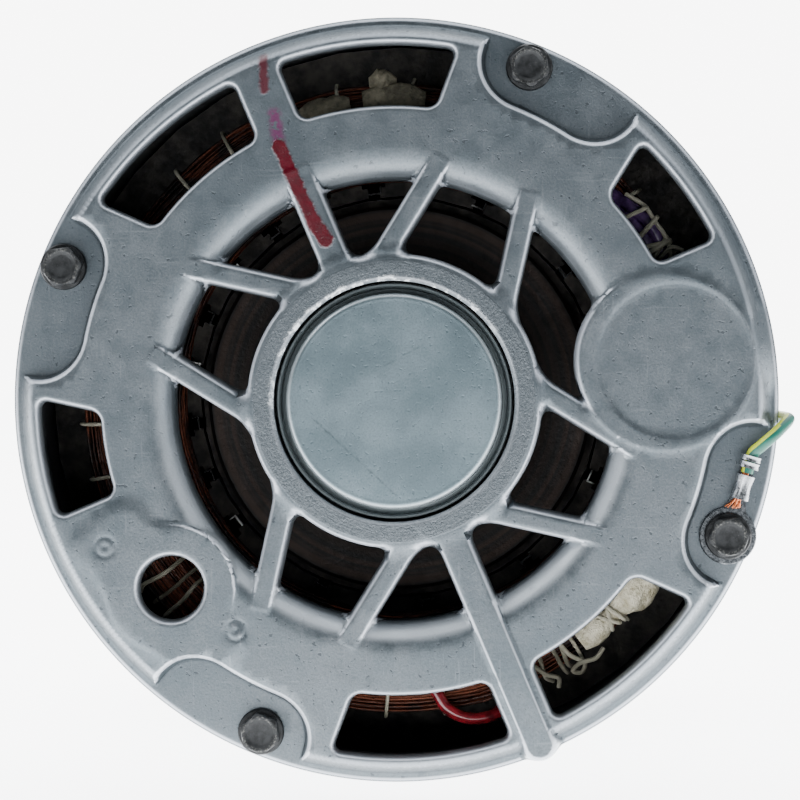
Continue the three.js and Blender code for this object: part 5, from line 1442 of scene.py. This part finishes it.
ties = (tie(313.8, 66.6, rear_top - 2.7, 2.6, 1.5) + tie(314.4, 66.6, rear_top - 2.7, 2.6, -1.5)
        + tie(315.8, 66.6, rear_top - 2.9, 2.9, 0.4) + tie(29.5, 65.3, LEAD_Y - 0.6, 3.6, 1.9, 0.55)
        + tie(31.0, 65.5, LEAD_Y - 0.6, 3.6, -1.2, 0.55) + tie(34.3, 65.9, LEAD_Y - 0.6, 3.6, 0.9, 0.55)
        + tie(38.2, 65.5, LEAD_Y - 0.3, 3.5, -0.8, 0.5) + tie(30.2, 65.4, LEAD_Y - 0.8, 3.7, 0.2, 0.6))
for knot in ([(297.2, 66, -1.9), (298.6, 68.8, -2.9), (300.2, 70.8, -3.1), (299.4, 72.6, -2.6)],
             [(303.6, 64, -2.0), (304.2, 68.0, -2.6), (305.6, 71.0, -3.0), (304.2, 72.3, -3.3), (303.0, 71.0, -3.4),
              (304.8, 70.4, -3.6), (307.6, 71.6, -3.2), (309.8, 71.0, -2.4)],
             [(26.0, 66.5, -3.0), (28.6, 68.0, -4.2), (31.6, 68.7, -4.4), (34.5, 68.6, -3.8), (38.0, 68.8, -3.0),
              (42.0, 67.4, -2.2)],
             [(27.2, 63.0, -3.2), (28.4, 65.6, -4.6), (29.0, 68.8, -4.4), (27.6, 70.6, -3.4)]):
    ties = ties + tube(smooth_path(bend_to([(a, r, rear_top + y) for a, r, y in knot]), 36), 0.5, 8)
piece("protector_ties", ties, cord_finish, "motor", "cream_sleeving", (), 60)

# %% Slot liners round the bore
liner_finish = Finish("slot_liner", (0.5, 0.5, 0.47), 0.0, 0.2, Coat_Weight=0.6)
# Painted glints and shade: the white liners are painted near white in a few spots as glints and near black elsewhere
# as shade.
liner_glint_and_shade = liner_finish.ramp(liner_finish.noise(16, 2), 0.50, 0.62)
liner_finish.paint(Base_Color=liner_finish.mix(liner_glint_and_shade, (0.02, 0.02, 0.02), (0.85, 0.85, 0.82)))
liner = block((46.5, 46.9), (REAR_END - 2.2, REAR_END + 0.2), (-1.5, 1.5), 0.08)
liner = liner + block((46.9, 48.4), (REAR_END - 1.6, REAR_END + 0.2), (-1.5, -1.15), 0.08)
ring_of("slot_liners", liner, liner_finish, "motor", "lamination_steel", (), 40, Count=24, First=7.5, Step=15.0,
        Play=0.5, Seed=3)

# %% [markdown]
# ## Shell and front shield
# The shell is rolled from sheet and welded along a seam, with a window for the plug socket. The
# front shield uses the same casting builder, facing the other way.

# %% Motor shell
shell_finish = Finish("shell_steel", (0.42, 0.45, 0.48), 0.85, 0.36)
brushed = shell_finish.noise(0.9, 4, 0.6, (1, 0.05, 1))
spangle = shell_finish.noise(7, 3, 0.6)
shell_tint = shell_finish.mix(shell_finish.ramp(spangle, 0.35, 0.7), (0.20, 0.222, 0.245), (0.245, 0.27, 0.295))
shell_tint = shell_finish.mix(shell_finish.ramp(brushed, 0.55, 0.75, 0, 0.4), shell_tint, (0.42, 0.45, 0.48))
shell_tint = shell_finish.mix(shell_finish.ramp(shell_finish.noise(2.2, 5, 0.7), 0.66, 0.74, 0, 0.6), shell_tint,
                              (0.14, 0.13, 0.12))
weld = shell_finish.ramp(shell_finish.sum("ABSOLUTE", shell_finish.x + 9), 1.6, 0.4) * shell_finish.ramp(
    shell_finish.z, -60, -70)
shell_tint = shell_finish.mix(weld * 0.8, shell_tint, (0.16, 0.17, 0.19))
shell_finish.paint(Base_Color=shell_tint, Roughness=shell_finish.ramp(spangle, 0.3, 0.7, 0.35, 0.43))
shell_finish.bump(brushed * 0.3 + weld * (shell_finish.noise(0.9, 2) + 0.6) + spangle * 0.15, 0.2)
SHELL_OUT = shell_high.z / MM
SHELL_IN = SHELL_OUT - 1.6
WINDOW_Y = (-42.3, -15.7)
WINDOW_TURN = (-10.75, 5.3)
shell_ys = [shell_low.y / MM, shell_low.y / MM + 0.5, *np.linspace(-120, -50, 8), WINDOW_Y[0], -30.0, WINDOW_Y[1],
            shell_high.y / MM - 0.5, shell_high.y / MM]
outside_window = [a for a in np.arange(-180, 180, 2.5) if not WINDOW_TURN[0] < a < WINDOW_TURN[1]]
shell_turns = sorted({*outside_window, *WINDOW_TURN, -5.0, 0.0})
wide, tall = len(shell_turns), len(shell_ys)
shell_points, shell_faces = [], []
for radius in (SHELL_OUT, SHELL_IN):
    for j, y in enumerate(shell_ys):
        eased = 0.35 if j in (0, tall - 1) else 0.0
        r = radius - eased if radius == SHELL_OUT else radius + eased
        shell_points += [(r * math.cos(math.radians(a)), y, r * math.sin(math.radians(a))) for a in shell_turns]


def open_cell(i, j):
    middle = (shell_turns[i] + (shell_turns[(i + 1) % wide] if i + 1 < wide else 180)) / 2
    return WINDOW_TURN[0] < middle < WINDOW_TURN[1] and WINDOW_Y[0] <= shell_ys[j] < WINDOW_Y[1]


under = wide * tall
for j in range(tall - 1):
    for i in range(wide):
        n = (i + 1) % wide
        a, b, c, d = j * wide + i, j * wide + n, (j + 1) * wide + n, (j + 1) * wide + i
        if open_cell(i, j):
            if not open_cell(i - 1, j):
                shell_faces.append((a, d, under + d, under + a))
            if not open_cell(n, j):
                shell_faces.append((c, b, under + b, under + c))
            if not open_cell(i, j - 1):
                shell_faces.append((b, a, under + a, under + b))
            if not open_cell(i, j + 1):
                shell_faces.append((d, c, under + c, under + d))
        else:
            shell_faces.append((d, c, b, a))
            shell_faces.append((under + a, under + b, under + c, under + d))
for i in range(wide):
    n = (i + 1) % wide
    shell_faces.append((i, n, under + n, under + i))
    top = (tall - 1) * wide
    shell_faces.append((top + n, top + i, under + top + i, under + top + n))
shell_shape = Shape(shell_points, shell_faces).outward()
piece("rolled_shell", shell_shape, shell_finish, "motor", "shell_steel",
      ["motor_shell"], 30)

# %% Front shield
FRONT_VENTS = [(AXIS - 90 + 90 * k - 29, AXIS - 90 + 90 * k + 29) for k in range(4)]


def front_metal(x, z):
    r = np.hypot(x, z)
    solid = np.minimum(RIM - r, r - 10.94)
    for first, last in FRONT_VENTS:
        solid = np.minimum(solid, -sector(x, z, 49.0, 65.8, [first] * 2, [last] * 2, 4.0))
    for angle in BOLT_ANGLES:
        pocket = polar(BOLT_CIRCLE, angle)
        solid = np.minimum(solid, np.hypot(x - pocket[0], z - pocket[1]) - 2.75)
    return solid


def nut_seats(x, z):
    seats = [round_bar(x, z, angle, BOLT_CIRCLE, BOLT_CIRCLE + 12, 7.1) for angle in BOLT_ANGLES]
    return np.maximum.reduce(seats)


def front_base(x, z):
    r = np.hypot(x, z)
    h = np.interp(r, [10, 24, 26, 30, 69.4, 71.3, 71.9, 73.2, 73.8, 74.1, 82.2, 82.5],
                  [-4.4, -4.4, -4.6, -5, -5, 2.5, 3, 3, 2.5, 0, 0, -0.3])
    for angle in BOLT_ANGLES:
        rib = bar(x, z, angle, (26.0, 0.0), (67.0, 0.0), 2.6)
        h = np.where(r < 68, soft_max(h, soft_min(-3.2 + 0 * r, -3.2 + (rib - 0.7) * 1.6, 1.2), 0.6), h)
    return soft_min(h, -6.0 + 3.0 * np.maximum(-nut_seats(x, z), 0), 0.5)


def front_height(x, z):
    r = np.hypot(x, z)
    drop = edge_drop(front_metal(x, z), 2.2, 0.8)
    return front_base(x, z) + np.where(r > RIM - 1.5, 0.3 * drop, drop)


def front_under(x, z):
    return np.interp(np.hypot(x, z), [70, 73, 79.9], [-8.5, -10.9, -10.9])


def seat_edges(x, z):
    return np.minimum(nut_seats(x, z), RIM + 3 - np.hypot(x, z))


seat_loops = [respaced(loop, 0.8) for loop in trace(seat_edges, RIM + 6)]
front_contour = np.vstack([rows(nut_seats, seat_loops, (0.2, -0.2, -0.6, -1.1, -1.7, -2.3, -2.9)),
                           circle_rows((0, 0), (24, 26, 30, 69.4, 70.3, 71.3, 71.9, 73.2, 73.8, 74.1, 78, 81.5, 82.1),
                                       1.1)])
front_shape, front_plan = cast_plate(front_metal, front_height, front_under, front_contour, 0.0, 1, RIM + 2,
                                     (0.2, 0.35, 0.6, 0.9, 1.3), 2.0)
# The front shield gets the same painted edge highlight and corner shade from its convexity.
front_wear_highlight_and_shade = np.zeros(len(front_shape.points))
front_wear_highlight_and_shade[:len(front_plan)] = convexity(front_base, front_plan)
front_shape = front_shape + turned([(20.3, -8), (25.0, -8), (25.0, -23.6), (24.6, -24), (20.3, -24)], 64)
front_shape = front_shape + turned([(SPIGOT_IN, -10.4), (SPIGOT_OUT, -10.4), (SPIGOT_OUT, -14.6), (79.4, -15),
                                    (SPIGOT_IN, -15)], 120)
front_wear_highlight_and_shade = np.r_[front_wear_highlight_and_shade, np.zeros(len(front_shape.points) - len(front_wear_highlight_and_shade))]
front_cast = cast_finish("cast_aluminium_front", 0.96)
front_cast.paint(Base_Color=front_cast.tint, Roughness=front_cast.rough)
front_cast.bump(front_cast.relief, 0.16)
piece("front_shield_casting", front_shape, front_cast, "motor", "cast_aluminium",
      ["front_end_shield"], 40, {"wear_highlight_and_shade": front_wear_highlight_and_shade})

# %% Plug socket
nylon = Finish("block_nylon", (0.02, 0.02, 0.022), 0.0, 0.42)
nylon.two_tone((0.012, 0.012, 0.014), (0.04, 0.04, 0.043), 4, 3)
nylon.uneven_gloss(1.5, 4, 0.34, 0.55)
nylon.bump(nylon.noise(0.4, 3, 0.6), 0.05)
block_low, block_high = (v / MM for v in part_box("socket_block"))
bx, by, bz = ((block_low[i], block_high[i]) for i in range(3))
SOCKET_FLOOR, SOCKET_Y, SOCKET_HALF = bx[0] + 2.5, (-33.0, -18.0), 9.0
mid = (bz[0] + bz[1]) / 2
socket = block((bx[0], SOCKET_FLOOR), by, (bz[0] + 1, bz[1] - 1), 0.25)
socket = socket + block((SOCKET_FLOOR, bx[1]), (by[0] + 7.0, SOCKET_Y[0]), (bz[0] + 1.2, bz[1] - 1.2), 0.35)
socket = socket + block((SOCKET_FLOOR, bx[1]), (SOCKET_Y[1], by[1]), (bz[0] + 1.2, bz[1] - 1.2), 0.35)
for side in (-1, 1):
    wall = sorted((mid + side * SOCKET_HALF, mid + side * 9.8))
    socket = socket + block((SOCKET_FLOOR, bx[1]), (SOCKET_Y[0], SOCKET_Y[1]), wall, 0.2)
    cheek = sorted((mid + side * 1.7, mid + side * 9.6))
    socket = socket + block((SOCKET_FLOOR, bx[1]), (by[0], by[0] + 7.0), cheek, 0.3)
for k in (-0.5, 0.5):
    socket = socket + block((SOCKET_FLOOR, SOCKET_FLOOR + 4.5), (SOCKET_Y[0] + 1.5, SOCKET_Y[1] - 1.5),
                            (mid + k * 6 - 0.5, mid + k * 6 + 0.5), 0.15)
piece("plug_socket", socket, nylon, "motor", "block_nylon", ["socket_block"], 30)
brass = Finish("brass", (0.62, 0.45, 0.18), 1.0, 0.3)
brass.two_tone((0.48, 0.33, 0.12), (0.74, 0.56, 0.26), 1.2, 4)
brass.uneven_gloss(0.6, 3, 0.22, 0.42)
tabs = Shape()
for k in (-1, 0, 1):
    z, y = mid + 6 * k, sum(SOCKET_Y) / 2
    blade = prism([(SOCKET_FLOOR + 0.1, z - 0.4), (bx[1] - 4.0, z - 0.4), (bx[1] - 3.1, z - 0.15),
                   (bx[1] - 3.1, z + 0.15), (bx[1] - 4.0, z + 0.4),
                   (SOCKET_FLOOR + 0.1, z + 0.4)], y - 3.15, y + 3.15, 0.08)
    tabs = tabs + blade
piece("plug_tabs", tabs, brass, "motor", "brass",
      ["connector_tab_1", "connector_tab_2", "connector_tab_3"], 30)

# %% [markdown]
# ## Rotor, shaft and fan wheel
# Everything on the shaft turns with it: the squirrel-cage rotor, the slinger and the wheel with
# its thirty-six forward-curved blades.

# %% Shaft and rotor
ground = Finish("shaft_steel", (0.55, 0.56, 0.57), 1.0, 0.2)
turned_lines = ground.noise(0.35, 3, 0.6, (0.05, 1, 0.05))
ground.two_tone((0.46, 0.47, 0.48), (0.62, 0.63, 0.64), 5, 4, 0.35)
ground.paint(Roughness=ground.ramp(turned_lines, 0.3, 0.7, 0.14, 0.32))
ground.bump(turned_lines, 0.03)
shaft_low, shaft_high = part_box("shaft")
START, END = shaft_low.y / MM, shaft_high.y / MM
shaft_shape = stack([(START, 7.5, ""), (START + 0.7, 8.2, ""), (-121, 8.2, ""), (-120.6, 9.5, ""), (-22.4, 9.5, ""),
                     (-22, 8.2, ""), (-7.5, 8.2, ""), (-7.2, 7.94, ""), (2.5, 7.94, ""), (2.6, 7.94, "flat"),
                     (END - 0.8, 7.94, "flat"), (END, 7.2, "flat")], 64, 0, 7.14)
piece("motor_shaft", shaft_shape, ground, "rotor", "shaft_steel", ["shaft"], 30)
# The rotor's alloy is kept near black, partly its dark varnish and partly painted shade for the unlit inside of the
# motor.
shaded_dark_alloy = Finish("rotor_aluminium", (0.05, 0.045, 0.042), 0.4, 0.5)
from_shaft = shaded_dark_alloy.node("ShaderNodeCombineXYZ", None, {"X": shaded_dark_alloy.radius() * 0.45})
turning_marks = shaded_dark_alloy.node("ShaderNodeTexNoise", None, {"Vector": from_shaft.outputs[0], "Scale": 1.0})
band = Signal(shaded_dark_alloy, turning_marks.outputs[0])
shaded_dark_alloy.paint(Base_Color=shaded_dark_alloy.mix(shaded_dark_alloy.ramp(band, 0.4, 0.65), (0.008, 0.007, 0.007),
                                           (0.036, 0.022, 0.016)),
                 Roughness=shaded_dark_alloy.ramp(shaded_dark_alloy.noise(2, 4), 0.3, 0.7, 0.4, 0.6))
shaded_dark_alloy.bump(shaded_dark_alloy.noise(0.8, 4, 0.6), 0.12)
ROTOR_FINS = 9
for label, end, way, node in (("rear", REAR_END - 0.3, -1, "rotor_end_ring_rear"),
                              ("front", FRONT_END + 0.3, 1, "rotor_end_ring_front")):
    rim_profile = [(27.4, end), (43.0, end), (43.4, end + way * 0.5), (43.4, end + way * 7.2)]
    rim_profile += [(42.6, end + way * 8), (28.0, end + way * 8), (27.0, end + way * 7.2), (27.0, end + way * 0.4)]
    ring_shape = turned(rim_profile, 110)
    for k in range(ROTOR_FINS if way > 0 else 0):
        fin = prism([(30.0, -1.1), (41.5, -1.4), (41.5, 1.4), (30.0, 1.1)], end + 7.6, end + 16.8, 0.4)
        fin.points = swung(fin.points, 360 * k / ROTOR_FINS + 5)
        ring_shape = ring_shape + fin
    piece(f"end_ring_{label}", ring_shape, shaded_dark_alloy, "rotor", "rotor_aluminium",
          [node], 40)
rubber = Finish("rubber", (0.02, 0.02, 0.02), 0.0, 0.7)
rubber.paint(Base_Color=rubber.mix(rubber.noise(2, 4), (0.012, 0.012, 0.012), (0.045, 0.044, 0.042)))
rubber.bump(rubber.noise(0.5, 3), 0.1)
slinger_low, slinger_high = (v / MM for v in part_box("shaft_slinger"))
slinger = turned([(8.25, slinger_low.y), (slinger_high.x - 0.6, slinger_low.y), (slinger_high.x, slinger_low.y + 0.6),
                  (slinger_high.x, slinger_low.y + 1.6), (slinger_high.x - 3.5, slinger_low.y + 2.4),
                  (slinger_high.x - 4.2, slinger_high.y), (8.25, slinger_high.y)], 64)
piece("rubber_slinger", slinger, rubber, "rotor", "rubber", ["shaft_slinger"], 40)

# %% Fan wheel
zinc = Finish("galvanised_sheet", (0.5, 0.52, 0.54), 0.9, 0.35)
flakes = zinc.node("ShaderNodeTexVoronoi", {"feature": "F1"}, {"Vector": zinc.place, "Scale": 0.16})
flake = Signal(zinc, flakes.outputs["Color"])
flake_tone = Signal(zinc, zinc.node("ShaderNodeSeparateXYZ", None, {0: flake}).outputs[0])
zinc_tint = zinc.mix(flake_tone, (0.13, 0.142, 0.155), (0.195, 0.21, 0.225))
zinc_tint = zinc.mix(zinc.ramp(zinc.noise(2.5, 5, 0.7), 0.64, 0.72, 0, 0.6), zinc_tint, (0.15, 0.155, 0.16))
zinc.paint(Base_Color=zinc_tint, Roughness=zinc.ramp(flake_tone, 0.0, 1.0, 0.36, 0.5))
zinc.bump(zinc.noise(0.8, 3), 0.04)
WHEEL_BACK = 14.0
back_profile = [(17, WHEEL_BACK), (69.2, WHEEL_BACK), (70.4, WHEEL_BACK + 0.3), (71.1, WHEEL_BACK + 1.2),
                (71.1, WHEEL_BACK + 4.0), (70.9, WHEEL_BACK + 4.2), (70.1, WHEEL_BACK + 4.2),
                (69.9, WHEEL_BACK + 4.0),
                (69.9, WHEEL_BACK + 1.4), (60, WHEEL_BACK + 1.2), (40, WHEEL_BACK + 1.2), (17, WHEEL_BACK + 1.2)]
back = turned(back_profile, 140)
piece("wheel_back", back, zinc, "rotor", "galvanised_sheet", ["wheel_backplate"], 35)
blade_low, blade_high = (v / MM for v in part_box("wheel_blades"))


def wheel_blade(root, tip, sweep, sheet, low, high, steps=12):
    """A forward-curved blade: its section is an arc that leans into the turn."""
    front_side, back_side = [], []
    for k in range(steps + 1):
        t = k / steps
        radius = root + (tip - root) * t
        angle = math.radians(sweep * (t ** 1.7))
        place = np.array([radius * math.cos(angle), radius * math.sin(angle)])
        normal = np.array([-math.sin(angle + 0.5 * t), math.cos(angle + 0.5 * t)]) * sheet / 2
        front_side.append(place + normal)
        back_side.append(place - normal)
    outline = front_side + back_side[::-1]
    count = len(outline)
    points = [(x, y, z) for y in np.linspace(low, high, 5) for x, z in outline]
    faces = bands(5, count)
    for base, flip in ((0, 0), (4 * count, 1)):
        for k in range(steps):
            quad = (base + k, base + k + 1, base + count - 2 - k, base + count - 1 - k)
            faces.append(tuple(reversed(quad)) if flip else quad)
    return Shape(points, faces).outward()


blade_shape = wheel_blade(57.5, 69.2, 9.0, 0.8, blade_low.y + 0.4, blade_high.y - 0.4)
ring_of("wheel_blade_ring", blade_shape, zinc, "rotor", "galvanised_sheet", ["wheel_blades"], 35, Count=36,
        First=0.0, Step=10.0)
strips = Shape()
for y in (blade_low.y + 0.6, (blade_low.y + blade_high.y) / 2, blade_high.y - 0.6):
    strips = strips + turned([(68.5, y - 0.6), (69.4, y - 0.6), (69.4, y + 0.6), (68.5, y + 0.6)], 144)
piece("wheel_blade_strips", strips, zinc, "rotor", "galvanised_sheet", (), 35)
inlet = turned([(53.0, 72.6), (53.4, 73.0), (55.5, 72.2), (58.5, 72.3), (69.0, 72.6), (70.6, 72.2), (71.1, 71.2),
                (71.1, 68.7), (70.9, 68.5), (70.1, 68.5), (69.9, 68.7), (69.9, 71.0), (69.0, 71.6), (58.5, 71.6),
                (54.0, 71.3), (53.0, 71.8)], 140)
piece("wheel_inlet", inlet, zinc, "rotor", "galvanised_sheet", ["wheel_inlet_ring"], 35)
plated = Finish("hub_plate", (0.58, 0.57, 0.52), 0.95, 0.32)
plated.two_tone((0.42, 0.43, 0.40), (0.66, 0.66, 0.6), 3, 4)
plated.uneven_gloss(1.1, 3, 0.24, 0.42)
plated.bump(plated.noise(0.35, 3, 0.6, (0.05, 1, 0.05)), 0.04)
hub_low, hub_high = (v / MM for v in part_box("wheel_hub"))
hub_shape = turned([(8.25, hub_low.y), (13.4, hub_low.y), (14.0, hub_low.y + 0.6), (14.0, 13.2),
                    (15.6, 13.6), (16.6, 13.9), (16.6, 15.5),
                    (25.4, 15.5), (26.0, 16.0), (26.0, 17.4), (25.4, 17.9), (15.0, 17.9), (14.0, 18.9),
                    (14.0, hub_high.y - 0.6), (13.4, hub_high.y), (8.25, hub_high.y)], 96)
piece("wheel_hub_turned", hub_shape, plated, "rotor", "hub_plate", ["wheel_hub"], 35)
rivet = turned([(0, 18.0), (3.6, 18.0), (3.5, 18.6), (2.8, 19.2), (1.5, 19.5), (0, 19.55)], 28)
rivet = rivet + turned([(0, 13.9), (2.0, 13.9), (3.4, 13.7), (3.3, 13.2), (2.2, 12.8), (0, 12.7)], 28)
ring_of("hub_rivets", rivet, plated, "rotor", "hub_plate",
        ["wheel_rivet_1", "wheel_rivet_2", "wheel_rivet_3", "wheel_rivet_4"], 35,
        Count=4, First=45.0, Step=90.0, Radius=20.5)

# %% [markdown]
# ## Hidden parts
# Bearings, laminations and the wave spring keep their CAD shape and take a finish of their own.

# %% Finishes for the parts that keep their CAD shape
race = Finish("bearing_steel", (0.5, 0.51, 0.53), 1.0, 0.18)
race.two_tone((0.40, 0.41, 0.43), (0.6, 0.61, 0.63), 2, 4)
race.uneven_gloss(0.5, 3, 0.12, 0.3)
sprung = Finish("spring_steel", (0.22, 0.21, 0.2), 0.9, 0.32)
sprung.two_tone((0.12, 0.115, 0.11), (0.3, 0.28, 0.26), 3, 4)
# The laminations are kept very dark, partly their oxide and partly painted shade for the inside of the motor.
laminated = Finish("lamination_steel", (0.06, 0.055, 0.05), 0.5, 0.45)
sheets = laminated.sum("SINE", laminated.y * 12)
laminated.two_tone((0.012, 0.011, 0.010), (0.06, 0.052, 0.045), 5, 4, 0.35)
laminated.uneven_gloss(1.5, 3, 0.35, 0.6)
laminated.bump(sheets * 0.3 + laminated.noise(1.0), 0.1)
kept = {race: ("bearing_steel", ["rear_bearing_outer_ring", "front_bearing_outer_ring", "rear_bearing_inner_ring",
                                 "front_bearing_inner_ring", "rear_bearing_ball_cage", "front_bearing_ball_cage"]),
        sprung: ("spring_steel", ["bearing_wave_spring", "front_bearing_snap_ring"]),
        laminated: ("lamination_steel", ["stator_core", "rotor_core"]),
        dark_steel: ("dark_hardware", ["hub_set_screw"])}
for finish, (slot, names) in kept.items():
    for name in names:
        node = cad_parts[name]
        node.data.materials.clear()
        node.data.materials.append(finish.material)
    print(slot, "on", len(names), "CAD parts")
